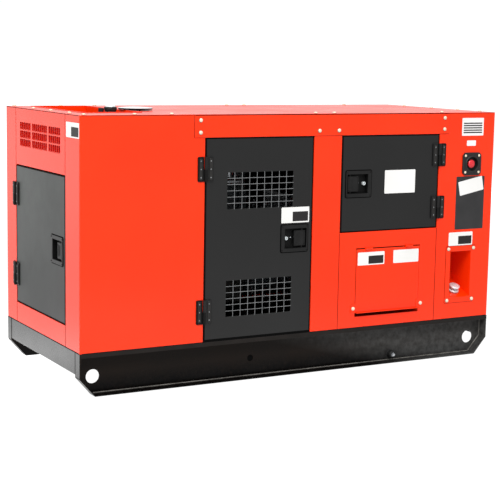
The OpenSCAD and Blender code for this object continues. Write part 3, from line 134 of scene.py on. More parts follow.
def add_node(tree: bpy.types.NodeTree, kind: str, inputs: Optional[dict] = None,
             **settings: object) -> bpy.types.Node:
    """Adds a node with its settings, and links or sets its inputs.

    Args:
        tree: The tree that gets the node.
        kind: The node's type name.
        inputs: Sockets to link from, or values, by input name or number.
        settings: Attributes of the node.

    Returns:
        The new node.
    """
    node = tree.nodes.new(kind)
    for name, value in settings.items():
        setattr(node, name, value)
    for name, value in (inputs or {}).items():
        if isinstance(value, bpy.types.NodeSocket):
            tree.links.new(value, node.inputs[name])
        else:
            node.inputs[name].default_value = value
    return node


class Grain(Enum):
    """The kind of fine relief that a surface has."""

    PEEL = "soft waves, as in paint and castings"
    CELLS = "round cells, as in foam and moulded leather grain"
    BRUSHED = "long fine scratches"


@dataclass(frozen=True)
class PaintedLight:
    """Painted light or shade on a finish: a colour that grows along a direction between two places, in metres, mottled
    by specks.
    """

    colour: str
    way: Place
    span: Point
    amount: float
    speck_mm: float = 14.0


@dataclass(frozen=True)
class Finish:
    """A surface finish, made from one real material.

    Its colour drifts slowly between two shades, its gloss drifts with it, and a fine grain lifts the surface; painted
    light or shade may lie over its colour.
    """

    name: str
    colour: str
    shade: str
    rough: float
    slot: Optional[str] = None
    metallic: float = 0.0
    specular: float = 0.5
    coat: float = 0.0
    drift_mm: float = 400.0
    grain: Grain = Grain.PEEL
    grain_mm: float = 2.0
    lift_mm: float = 0.02
    gloss_drift: float = 0.05
    painted_lights: Sequence[PaintedLight] = ()
    brush: Place = (1.0, 1.0, 1.0)
    coat_rough: float = 0.06
    # Noise values between which the colour and the gloss drift
    colour_span: Point = (0.35, 0.65)
    gloss_span: Point = (0.3, 0.7)

    def made(self) -> bpy.types.Material:
        """Gives the material, building it at its first use."""
        return bpy.data.materials.get(self.name) or self._build()

    def _build(self) -> bpy.types.Material:
        """Builds the node tree of the finish.

        Returns:
            The new material.
        """
        material = bpy.data.materials.new(self.name)
        material.use_nodes = True
        tree = material.node_tree
        tree.nodes.clear()
        where = add_node(tree, "ShaderNodeTexCoord").outputs["Object"]
        drift = add_node(tree, "ShaderNodeTexNoise", {"Vector": where, "Scale": 1000 / self.drift_mm, "Detail": 3.0})
        spread = add_node(tree, "ShaderNodeMapRange", {
            "Value": drift.outputs["Fac"], "From Min": self.colour_span[0], "From Max": self.colour_span[1]})
        colour = add_node(tree, "ShaderNodeMix", {
            0: spread.outputs["Result"], 6: linear(self.colour), 7: linear(self.shade)}, data_type="RGBA").outputs[2]
        for light_mark in self.painted_lights:
            colour = self._with_painted_light(tree, where, colour, light_mark)
        gloss = add_node(tree, "ShaderNodeMapRange", {
            "Value": drift.outputs["Fac"], "From Min": self.gloss_span[0], "From Max": self.gloss_span[1],
            "To Min": self.rough - self.gloss_drift, "To Max": self.rough + self.gloss_drift})
        bump = add_node(tree, "ShaderNodeBump", {
            "Height": self._relief(tree, where), "Distance": self.lift_mm * MM, "Strength": 1.0})
        shader = add_node(tree, "ShaderNodeBsdfPrincipled", {
            "Base Color": colour, "Roughness": gloss.outputs["Result"], "Normal": bump.outputs["Normal"],
            "Metallic": self.metallic, "Specular IOR Level": self.specular,
            "Coat Weight": self.coat, "Coat Roughness": self.coat_rough})
        add_node(tree, "ShaderNodeOutputMaterial", {"Surface": shader.outputs["BSDF"]})
        return material

    def _relief(self, tree: bpy.types.NodeTree, where: bpy.types.NodeSocket) -> bpy.types.NodeSocket:
        """Adds the texture of the fine grain.

        Args:
            tree: The material's tree.
            where: The coordinates to read.

        Returns:
            The socket with the height.
        """
        scale = 1000 / self.grain_mm
        if self.grain is Grain.CELLS:
            return add_node(tree, "ShaderNodeTexVoronoi", {"Vector": where, "Scale": scale}).outputs["Distance"]
        if self.grain is Grain.BRUSHED:
            where = add_node(tree, "ShaderNodeMapping", {"Vector": where, "Scale": self.brush}).outputs["Vector"]
        return add_node(tree, "ShaderNodeTexNoise", {
            "Vector": where, "Scale": scale, "Detail": 2.0}).outputs["Fac"]

    def _with_painted_light(self, tree: bpy.types.NodeTree, where: bpy.types.NodeSocket, colour: bpy.types.NodeSocket,
                light_mark: PaintedLight) -> bpy.types.NodeSocket:
        """Lays painted light or shade over a colour.

        Args:
            tree: The material's tree.
            where: The coordinates to read.
            colour: The colour without it.
            light_mark: The painted light or shade.

        Returns:
            The socket with the colour under its painted light or shade.
        """
        along = add_node(tree, "ShaderNodeVectorMath", {0: where, 1: light_mark.way}, operation="DOT_PRODUCT")
        fade = add_node(tree, "ShaderNodeMapRange", {
            "Value": along.outputs["Value"], "From Min": light_mark.span[0], "From Max": light_mark.span[1], "To Max": light_mark.amount})
        specks = add_node(tree, "ShaderNodeTexNoise", {"Vector": where, "Scale": 1000 / light_mark.speck_mm, "Detail": 6.0})
        share = add_node(tree, "ShaderNodeMath", {
            0: fade.outputs["Result"], 1: specks.outputs["Fac"]}, operation="MULTIPLY")
        return add_node(tree, "ShaderNodeMix", {
            0: share.outputs["Value"], 6: colour, 7: linear(light_mark.colour)}, data_type="RGBA").outputs[2]


# Gloss polyester powder coat on sheet steel: saturated, even, with the soft waves of orange peel (about 3 mm across)
RED_COAT = Finish("gloss_red_powder_coat", "#ef3104", "#ec2e03", 0.2, "canopy_red", specular=0.3,
                  grain_mm=3.0, lift_mm=0.006, gloss_drift=0.03)
# The same coat after years in the sun: slightly chalked, so duller and darker
CHALKED_RED = Finish("chalked_red_powder_coat", "#dd2c06", "#d62a05", 0.3, "canopy_red", specular=0.3, drift_mm=250,
                     grain_mm=3.0, lift_mm=0.006, gloss_drift=0.04)
# Fine texture polyester powder coat: a dry charcoal whose 1 mm grain breaks up the highlights
CHARCOAL_COAT = Finish("fine_texture_charcoal_powder_coat", "#171717", "#141414", 0.4, "door_charcoal", specular=0.33,
                       grain_mm=1.2, lift_mm=0.02, gloss_drift=0.04)
# The same coat on the left end door, with a painted sheen: greener and paler towards its upper rear corner
END_COAT_PAINTED_SHEEN = replace(CHARCOAL_COAT, name="charcoal_powder_coat_painted_sheen", specular=0.4,
                        painted_lights=(PaintedLight("#3c443f", (0.0, 0.6, 0.8), (0.1, 0.95), 1.0, 60.0),))
# Satin alkyd enamel over mill scale: black with a brownish cast and uneven gloss, with painted shade that darkens it
# along the ground, and a painted reflection as a grey patch on the right part of the rails
BLACK_ENAMEL = Finish("satin_black_enamel", "#130e0b", "#17110d", 0.3, "skid_black", specular=0.09, drift_mm=120,
                      grain_mm=6.0, lift_mm=0.05, gloss_drift=0.09,
                      # Painted shade along the ground, then a painted reflection on the right part of the rails
                      painted_lights=(PaintedLight("#020101", (0.0, 0.0, 1.0), (0.09, 0.03), 1.9),
                             PaintedLight("#585857", (1.0, 0.0, 3.67), (0.42, 0.86), 0.74, 22.0)))
# The same enamel with a clear gloss on top: a black mirror at low angles
GLOSS_ENAMEL = Finish("clear_coated_black_enamel", "#191a19", "#1f201f", 0.26, "skid_black", specular=0.42, coat=0.25,
                      drift_mm=120, grain_mm=6.0, lift_mm=0.04)
# The same enamel where loads rub along it: worn to a dry grey-black
WORN_ENAMEL = Finish("worn_black_enamel", "#171412", "#1e1a18", 0.45, "skid_black", specular=0.13, drift_mm=90,
                     grain_mm=4.0, lift_mm=0.03)
# Pale grey on the weld beads along the rails' inner corners: a painted highlight of the rippled bead
WELD_BEAD_HIGHLIGHT = Finish("weld_bead_painted_highlight", "#77746f", "#55524e", 0.3, "skid_black", metallic=0.3, drift_mm=30,
                      grain_mm=5.0, lift_mm=0.2)
# Black electrocoat on die-cast zinc: smooth, low sheen, slightly uneven from the casting
BLACK_CASTING = Finish("black_coated_zinc_casting", "#0d0d0d", "#121212", 0.34, "fitting_black", specular=0.3,
                       drift_mm=60, grain_mm=1.5, lift_mm=0.015)
# Oiled black oxide on stamped steel: a deep, dull black
BLACK_OXIDE = Finish("oiled_black_oxide_steel", "#0a0a0a", "#0d0d0d", 0.55, "fitting_black", specular=0.14,
                     drift_mm=40, grain_mm=1.2, lift_mm=0.015)
# Glass-filled polyamide, moulded with a spark-eroded grain: dull black
BLACK_NYLON = Finish("moulded_black_polyamide", "#131313", "#191919", 0.5, "moulded_black", specular=0.4,
                     drift_mm=40, grain=Grain.CELLS, grain_mm=0.8, lift_mm=0.02)
# Natural polyamide caps: warm white, waxy
CREAM_NYLON = Finish("moulded_cream_polyamide", "#dccfb9", "#d0c1a9", 0.4, "bolt_cap", drift_mm=30,
                     grain_mm=1.0, lift_mm=0.01)
# Bright chrome plate over polished zinc: a mirror with the faintest ripple
CHROME = Finish("bright_chrome_plate", "#dfe1e2", "#d3d6d8", 0.09, "lock_chrome", metallic=1.0, drift_mm=40,
                grain_mm=4.0, lift_mm=0.003, gloss_drift=0.03)
# Zinc plated steel: grey-white metal, slightly cloudy
ZINC = Finish("zinc_plated_steel", "#b9bcbf", "#a4a8ac", 0.32, "pipe_steel", metallic=1.0, drift_mm=25,
              grain_mm=1.5, lift_mm=0.01)
# Bright zinc plate under clear lacquer: pale, soft metal whose lacquer keeps it from mirroring like chrome
LACQUERED_ZINC = Finish("lacquered_bright_zinc", "#e0e6e8", "#d2d8da", 0.26, "lock_chrome", metallic=0.4,
                        drift_mm=18, grain_mm=1.2, lift_mm=0.008, coat=0.4)
# Galvanised wire, dulled by the weather; on the grille bars its pale grey is also their painted highlight
DULL_WIRE_AND_HIGHLIGHT = Finish("galvanised_wire_and_painted_highlight", "#7d7f80", "#6c6e6f", 0.45, "door_charcoal", drift_mm=25,
                   grain_mm=1.0, lift_mm=0.01)
# Deep, dry red laid as painted shade on the fins and rims of the hot air slots, for the slots' shaded inside
SLOT_SHADE_RED = Finish("deep_red_painted_shade", "#a50e18", "#930b14", 0.85, "canopy_red", specular=0.0, drift_mm=80,
                grain_mm=1.5, lift_mm=0.02)
# Turned and ground steel: fine circular tool marks drawn as thin scratches
GROUND_STEEL = Finish("ground_steel", "#a9abad", "#98999b", 0.28, "shaft_steel", metallic=1.0, drift_mm=50,
                      grain=Grain.BRUSHED, grain_mm=1.0, lift_mm=0.01, brush=(6.0, 1.0, 1.0))
# Drawn brass: warm yellow metal with a dulled skin
BRASS = Finish("drawn_brass", "#c89b3c", "#b3862f", 0.3, "stud_brass", metallic=1.0, drift_mm=20,
               grain_mm=1.0, lift_mm=0.01)
# Red polycarbonate, moulded and glossy
RED_PLASTIC = Finish("moulded_red_polycarbonate", "#d02a33", "#c8252e", 0.25, "button_red", drift_mm=30,
                     grain_mm=1.5, lift_mm=0.004)
# Cotton phenolic board: matt black with a faint weave
PHENOLIC = Finish("black_phenolic_board", "#17130f", "#1f1914", 0.5, "board_black", drift_mm=50,
                  grain=Grain.CELLS, grain_mm=0.9, lift_mm=0.015)
# Stove enamelled sheet: mid grey, smooth
GREY_ENAMEL = Finish("grey_stove_enamel", "#5c6064", "#56595d", 0.38, "board_grey", grain_mm=2.5, lift_mm=0.008)
# Engine enamel over sand cast iron: grey-green paint over a 2 mm sand texture
CAST_IRON = Finish("painted_sand_cast_iron", "#4a5054", "#3f4548", 0.45, "engine_iron", drift_mm=150,
                   grain_mm=2.2, lift_mm=0.18, gloss_drift=0.1)
# Brazed aluminium core and tanks: pale dull metal
ALUMINIUM = Finish("brazed_aluminium", "#9fa3a6", "#8d9194", 0.4, "radiator_alloy", metallic=1.0, drift_mm=60,
                   grain_mm=1.5, lift_mm=0.02)
# Natural rubber: black, soft edged, dull
RUBBER = Finish("moulded_natural_rubber", "#0f0f0f", "#161616", 0.62, "mount_rubber", specular=0.3, drift_mm=40,
                grain_mm=1.0, lift_mm=0.02)
# Butyl sealant and closed cell edge trim: dead black, without a shine; also laid as painted shade in the joints and
# gaps, round the latches, in the web holes and under the rain cover
SEALANT_AND_SHADE = Finish("black_sealant_and_painted_shade", "#040404", "#070707", 0.8, "mount_rubber", specular=0.05, drift_mm=30,
                 grain_mm=1.5, lift_mm=0.03)
# Phosphated steel: dark, dry grey
PHOSPHATED = Finish("phosphated_steel", "#262524", "#1e1d1c", 0.5, "fitting_black", specular=0.25, drift_mm=20,
                    grain_mm=1.0, lift_mm=0.015)
# Open cell polyurethane foam: charcoal, full of 3 mm pores that swallow the light
FOAM = Finish("open_cell_polyurethane_foam", "#0b0b0c", "#131314", 0.95, specular=0.1, drift_mm=60,
              grain=Grain.CELLS, grain_mm=3.0, lift_mm=1.2)
# Plasticised vinyl film: bright white, faintly glossy
WHITE_VINYL = Finish("white_vinyl_film", "#e2e1df", "#dad9d6", 0.35, grain_mm=4.0, lift_mm=0.004)
# Screen ink on a film: a flat, dry black
BLACK_INK = Finish("black_screen_ink", "#1b1919", "#201d1d", 0.5, specular=0.3, grain_mm=2.0, lift_mm=0.004)
# Dark vinyl film, faintly worn
DARK_VINYL = Finish("dark_vinyl_film", "#1d1d1e", "#242324", 0.42, drift_mm=60, grain_mm=4.0, lift_mm=0.006)
# Tempered glass over a dark screen
SCREEN_GLASS = Finish("dark_screen_glass", "#07090a", "#0a0d0f", 0.06, coat=0.5, grain_mm=5.0, lift_mm=0.001,
                      gloss_drift=0.02)
# Stoved enamel on drawn filter cans: pale, even, glossy
CAN_ENAMEL = Finish("stoved_cream_enamel_can", "#b9b5a6", "#aeaa9b", 0.3, "board_grey", drift_mm=60, grain_mm=3.0,
                    lift_mm=0.006)
# Tinted polycarbonate lamp lenses
GREEN_LENS = Finish("green_lamp_lens", "#0f7a34", "#0c6a2d", 0.15, grain_mm=3.0, lift_mm=0.002, gloss_drift=0.02)
AMBER_LENS = Finish("amber_lamp_lens", "#d9860f", "#cc7c0c", 0.15, grain_mm=3.0, lift_mm=0.002, gloss_drift=0.02)


class Shape:
    """A mesh in the making, in millimetres about its own origin: x right, y up, z outwards."""

    def __init__(self) -> None:
        """Starts with an empty mesh."""
        self.bm = bmesh.new()

    def rounded(self, edges: Iterable[bmesh.types.BMEdge], radius: float, steps: int) -> None:
        """Rounds edges to a radius."""
        bmesh.ops.bevel(self.bm, geom=list(edges), offset=radius, offset_type="OFFSET", affect="EDGES",
                        segments=steps, profile=0.5, material=-1)

    def block(self, size: Place, at: Place = (0, 0, 0), edge: float = 0.0, steps: int = 2) -> "Shape":
        """Adds a box with rounded edges.

        Args:
            size: Its width, height and depth.
            at: Its middle.
            edge: Radius of its edges.
            steps: Steps across a rounded edge.

        Returns:
            This shape.
        """
        verts = bmesh.ops.create_cube(self.bm, size=1.0)["verts"]
        bmesh.ops.scale(self.bm, vec=size, verts=verts)
        bmesh.ops.translate(self.bm, vec=at, verts=verts)
        if edge:
            self.rounded({e for v in verts for e in v.link_edges}, edge, steps)
        return self

    def _outline(self, w: float, h: float, corner: float, at: Place) -> list[bmesh.types.BMFace]:
        """Adds a flat rounded rectangle.

        Args:
            w, h: Its width and height.
            corner: Radius of its corners.
            at: Its middle.

        Returns:
            Its one face, in a list.
        """
        verts = bmesh.ops.create_grid(self.bm, x_segments=1, y_segments=1, size=0.5)["verts"]
        bmesh.ops.scale(self.bm, vec=(w, h, 1), verts=verts)
        bmesh.ops.translate(self.bm, vec=at, verts=verts)
        face = verts[0].link_faces[0]
        if corner:
            made = bmesh.ops.bevel(self.bm, geom=verts, offset=corner, offset_type="OFFSET", affect="VERTICES",
                                   segments=5, profile=0.5, material=-1)
            face = made["verts"][0].link_faces[0]
        return [face]

    def _raised(self, faces: list[bmesh.types.BMFace], t: float, edge: float) -> None:
        """Gives flat faces a thickness and rounds the rim of their upper side.

        Args:
            faces: The faces.
            t: The thickness.
            edge: Radius of the rim.
        """
        made = bmesh.ops.extrude_face_region(self.bm, geom=faces)["geom"]
        top = [g for g in made if isinstance(g, bmesh.types.BMFace)]
        bmesh.ops.translate(self.bm, vec=(0, 0, t), verts=[g for g in made if isinstance(g, bmesh.types.BMVert)])
        if edge:
            upper = set(top)
            rim = [e for f in top for e in f.edges if sum(g in upper for g in e.link_faces) == 1]
            self.rounded(set(rim), edge, 2)
        bmesh.ops.recalc_face_normals(self.bm, faces=self.bm.faces)

    def plate(self, w: float, h: float, t: float, corner: float = 0.0, at: Place = (0, 0, 0),
              edge: float = 0.0) -> "Shape":
        """Adds a flat plate with rounded corners, standing on z = 0 of its place.

        Args:
            w, h, t: Its width, height and thickness.
            corner: Radius of its corners.
            at: The middle of its back.
            edge: Radius of its front rim.

        Returns:
            This shape.
        """
        self._raised(self._outline(w, h, corner, at), t, edge)
        return self

    def border(self, w: float, h: float, t: float, band: float, corner: float = 0.0, at: Place = (0, 0, 0),
               edge: float = 0.0, hole: Optional[Place] = None) -> "Shape":
        """Adds a flat frame.

        Args:
            w, h, t: Its outside width and height and its thickness.
            band: Width of its band.
            corner: Radius of its outer corners.
            at: The middle of its back.
            edge: Radius of its front rims.
            hole: Width, height and shift to the right of its opening, where the band isn't the same all round.

        Returns:
            This shape.
        """
        face = self._outline(w, h, corner, at)
        ring = bmesh.ops.inset_region(self.bm, faces=face, thickness=band, use_even_offset=True,
                                      use_boundary=True)["faces"]
        if hole:
            middle = Matrix.Translation([-c for c in at])
            stretch = (hole[0] / (w - 2 * band), hole[1] / (h - 2 * band), 1)
            bmesh.ops.scale(self.bm, vec=stretch, verts=face[0].verts, space=middle)
            bmesh.ops.translate(self.bm, vec=(hole[2], 0, 0), verts=face[0].verts)
        bmesh.ops.delete(self.bm, geom=face, context="FACES_ONLY")
        self._raised(ring, t, edge)
        return self

    def turned(self, profile: Sequence[Point], steps: int = 32, at: Place = (0, 0, 0)) -> "Shape":
        """Adds a turned body.

        Args:
            profile: Radius and height of the points of its half section, from the axis back to the axis.
            steps: Steps of the full turn.
            at: Where its axis starts.

        Returns:
            This shape.
        """
        body = bmesh.new()
        verts = [body.verts.new((r, 0.0, z)) for r, z in profile]
        pairs = list(zip(verts, verts[1:]))
        if profile[0][0] or profile[-1][0]:
            pairs.append((verts[-1], verts[0]))
        edges = [body.edges.new(pair) for pair in pairs if pair[0].co.x or pair[1].co.x]
        bmesh.ops.spin(body, geom=verts + edges, cent=(0, 0, 0), axis=(0, 0, 1), dvec=(0, 0, 0),
                       angle=math.tau, steps=steps, use_merge=True)
        bmesh.ops.remove_doubles(body, verts=body.verts, dist=1e-4)
        bmesh.ops.recalc_face_normals(body, faces=body.faces)
        self._stamp(body, Matrix.Translation(at))
        body.free()
        return self

    def tube(self, points: Sequence[Place], d: float, bent: bool = True) -> "Shape":
        """Adds a round bar, pipe or hose along a path.

        Args:
            points: The points of its path.
            d: Its diameter.
            bent: Whether its path curves smoothly; otherwise it turns sharply at each point.

        Returns:
            This shape.
        """
        path = bpy.data.curves.new("path", "CURVE")
        path.dimensions, path.bevel_depth, path.bevel_resolution, path.use_fill_caps = "3D", d / 2, 3, True
        spline = path.splines.new("NURBS" if bent else "POLY")
        spline.points.add(len(points) - 1)
        for spot, co in zip(spline.points, points):
            spot.co = (*co, 1.0)
        if bent:
            spline.use_endpoint_u, spline.order_u, spline.resolution_u = True, 3, 6
        holder = bpy.data.objects.new("path", path)
        mesh = bpy.data.meshes.new_from_object(holder)
        body = bmesh.new()
        body.from_mesh(mesh)
        bmesh.ops.remove_doubles(body, verts=body.verts, dist=1e-3)
        bmesh.ops.recalc_face_normals(body, faces=body.faces)
        self._stamp(body, Matrix.Identity(4))
        body.free()
        bpy.data.meshes.remove(mesh)
        bpy.data.objects.remove(holder)
        bpy.data.curves.remove(path)
        return self

    def _stamp(self, other: bmesh.types.BMesh, place: Matrix) -> None:
        """Adds a copy of another mesh.

        Args:
            other: The mesh to copy.
            place: The matrix of the copy.
        """
        mesh = bpy.data.meshes.new("stamp")
        other.to_mesh(mesh)
        mesh.transform(place)
        self.bm.from_mesh(mesh)
        bpy.data.meshes.remove(mesh)

    def moved(self, matrix: Matrix) -> "Shape":
        """Moves all of the shape made so far."""
        self.bm.transform(matrix)
        return self

    def taking(self, other: "Shape", places: Iterable[Matrix]) -> "Shape":
        """Adds copies of another shape.

        Args:
            other: The shape to copy.
            places: The matrix of each copy.

        Returns:
            This shape.
        """
        for place in places:
            self._stamp(other.bm, place)
        return self


def curved(bm: bmesh.types.BMesh) -> list[bool]:
    """Tells curved faces from broad flat ones, which have at most roundings beside them.

    Args:
        bm: The mesh.

    Returns:
        Whether each face is curved, in the order of the faces.
    """
    bm.normal_update()
    area = {face: face.calc_area() for face in bm.faces}
    return [any(LEVEL < edge.calc_face_angle(0.0) < CREASE and area[beside] > NARROW * area[face]
                for edge in face.edges for beside in edge.link_faces if beside is not face) for face in bm.faces]


def show(name: str, shape: Shape, body: str, finish: Finish, replaces: Sequence[str] = ()) -> bpy.types.Object:
    """Makes a piece of a shape that is in its place in the frame.

    Args:
        name: The piece's name.
        shape: Its mesh, in metres, in the frame.
        body: The CAD body that it rides on.
        finish: Its finish.
        replaces: The CAD nodes that it stands for.

    Returns:
        The piece.
    """
    mesh = bpy.data.meshes.new(name)
    smooth = curved(shape.bm)
    shape.bm.to_mesh(mesh)
    shape.bm.free()
    if "custom_normal" in mesh.attributes:
        mesh.attributes.remove(mesh.attributes["custom_normal"])
    mesh.set_sharp_from_angle(angle=CREASE)
    mesh.polygons.foreach_set("use_smooth", smooth)
    mesh.materials.append(finish.made())
    piece = bpy.data.objects.new(name, mesh)
    level = piece.modifiers.new("level_broad_faces", "WEIGHTED_NORMAL")
    level.keep_sharp = True
    bpy.context.scene.collection.objects.link(piece)
    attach(piece, body)
    if replaces:
        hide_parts(*replaces)
    LOG.info("%s: %d faces on %s", name, len(mesh.polygons), body)
    return piece


def stamped(name: str, shape: Shape, places: Iterable[Matrix], body: str, finish: Finish,
            replaces: Sequence[str] = ()) -> bpy.types.Object:
    """Makes one piece of copies of a shape; the arguments are those of show() and the copies' places."""
    return show(name, Shape().taking(shape, places), body, finish, replaces)


def width_beside(face: bmesh.types.BMFace, edge: bmesh.types.BMEdge) -> float:
    """Measures how far a face reaches from one of its edges.

    Args:
        face: The face.
        edge: The edge.

    Returns:
        The width, in metres.
    """
    a, b = (v.co for v in edge.verts)
    along = (b - a).normalized()
    return max((v.co - a).cross(along).length for v in face.verts)


def body_of(node: str) -> str:
    """Gives the CAD body of a node."""
    return frame["nodes"][node]["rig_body"]


def softened(node: str, finish: Finish, radius: float, least: float = LEAST) -> bpy.types.Object:
    """Makes a copy of a CAD node with its long sharp edges rounded, in its place.

    Args:
        node: The CAD node.
        finish: The copy's finish.
        radius: Radius of the rounded edges, in millimetres.
        least: Width that the faces beside a rounded edge have at least, in radii.

    Returns:
        The piece that stands for the node.
    """
    shape = Shape()
    bm = shape.bm
    bm.from_mesh(frame["nodes"][node].data)
    bmesh.ops.remove_doubles(bm, verts=bm.verts, dist=SAME)
    bmesh.ops.dissolve_limit(bm, angle_limit=LEVEL, verts=bm.verts, edges=bm.edges)
    reach = radius * MM
    sharp = [e for e in bm.edges if e.is_convex and e.calc_face_angle(0.0) > SHARP and e.calc_length() > LONG * reach
             and min(width_beside(f, e) for f in e.link_faces) > least * reach]
    shape.rounded(sharp, reach, 2)
    bmesh.ops.remove_doubles(bm, verts=bm.verts, dist=MET)
    return show(f"{node}_shown", shape, body_of(node), finish, [node])


def carried(node: str, finish: Finish) -> None:
    """Gives a CAD node, kept as it is, a finish.

    Args:
        node: The CAD node.
        finish: Its finish.
    """
    mesh = frame["nodes"][node].data
    mesh.materials.clear()
    mesh.materials.append(finish.made())


def on_circle(r: float, count: int, start: float = 0.0) -> list[Point]:
    """Gives evenly spaced points on a circle.

    Args:
        r: Its radius.
        count: How many points.
        start: Where the first point lies, in steps from the x axis.

    Returns:
        The points.
    """
    turns = [math.tau * (i + start) / count for i in range(count)]
    return [(r * math.cos(turn), r * math.sin(turn)) for turn in turns]


def button_screw(d: float) -> Shape:
    """Draws a button head screw with a socket, standing on z = 0.

    Args:
        d: Diameter of its head.

    Returns:
        The screw.
    """
    r = d / 2
    return Shape().turned([(0, 0.3 * r), (0.42 * r, 0.3 * r), (0.42 * r, 0.62 * r), (0.7 * r, 0.56 * r),
                           (0.93 * r, 0.3 * r), (r, 0), (0, 0)], steps=16)


def hex_bolt(across: float, h: float) -> Shape:
    """Draws a hexagon head on its washer, standing on z = 0.

    Args:
        across: Width across the flats.
        h: Height of the head.

    Returns:
        The bolt.
    """
    r = across / math.sqrt(3)
    head = Shape().turned([(0, h), (0.78 * r, h), (r, h - 0.14 * r), (r, 1.0), (0, 1.0)], 6)
    return head.turned([(0, 1.4), (1.2 * r, 1.4), (1.2 * r, 0), (0, 0)], 16)


@dataclass
class Canopy:
    """The bolted sheet metal canopy."""

    # Width, in radii, that keeps the edges of the air inlet's louvres from being rounded
    louvre_least: float = 2.6
    cap_d: float = 17.0
    cap_h: float = 6.7
    # Places of the bolts: of the top beams' ends, of the mid post, of the filler pocket's corners, and on the roof
    # its edge and the shares of its length and width
    beam_xs: Point = (554.0, 1851.0)
    beam_zs: Point = (922.5, 975.5)
    post_xs: Point = (1154.0, 1258.0)
    post_z: float = 923.5
    pocket_xs: Point = (1902.0, 2052.0)
    pocket_zs: Point = (91.0, 343.0)
    edge: float = 30.0
    left_shares: Sequence[float] = (0.207, 0.446, 0.685)
    right_shares: Sequence[float] = (0.092, 0.283, 0.522, 0.783)
    long_shares: Sequence[float] = (0.12, 0.2, 0.534, 0.58, 0.861)

    def build(self) -> None:
        """Builds the panels and their capped bolts."""
        for node in ("front_left_panel", "front_right_panel", "rear_left_panel", "rear_right_panel", "mid_post",
                     "output_panel", "left_end_panels", "right_end_panel", "top_beams", "fuel_pocket"):
            softened(node, RED_COAT, SHEET_BEND, self.louvre_least if node == "right_end_panel" else LEAST)
        softened("roof_panel", CHALKED_RED, SHEET_BEND)
        softened("hot_air_duct", RED_COAT, SHEET_BEND)
        stamped("canopy_bolt_caps", self.cap(), self.bolt_places(), STILL, CREAM_NYLON, ["canopy_bolts"])
        washer = Shape().turned([(7.5, 0), (7.5, 0.9), (9.4, 0.9), (9.9, 0.4), (9.9, 0)], 24)
        stamped("canopy_bolt_washers", washer, self.bolt_places(), STILL, RUBBER)

    def cap(self) -> Shape:
        """Draws one domed bolt cap.

        Returns:
            The cap, standing on z = 0.
        """
        r, h = self.cap_d / 2, self.cap_h
        return Shape().turned([(0, h), (0.3 * r, 0.99 * h), (0.6 * r, 0.93 * h), (0.85 * r, 0.73 * h),
                               (0.96 * r, 0.56 * h), (r, 0.4 * h), (r, 0.1), (0, 0.1)], 24)

    def bolt_places(self) -> Iterator[Matrix]:
        """Yields the place of each canopy bolt."""
        for x in self.beam_xs:
            for z in self.beam_zs:
                yield Side.FRONT.at(x, -SHEET, z)
                yield Side.REAR.at(x, HOOD_W + SHEET, z)
        for x in self.post_xs:
            yield Side.FRONT.at(x, -SHEET, self.post_z)
        for x in self.pocket_xs:
            for z in self.pocket_zs:
                yield Side.FRONT.at(x, -SHEET, z)
        for y in (self.edge, *(share * HOOD_W for share in self.left_shares), HOOD_W - self.edge):
            yield Side.TOP.at(self.edge, y, HOOD_H)
        for share in self.right_shares:
            yield Side.TOP.at(HOOD_L - self.edge, share * HOOD_W, HOOD_H)
        for share in self.long_shares:
            for y in (self.edge, HOOD_W - self.edge):
                yield Side.TOP.at(share * HOOD_L, y, HOOD_H)


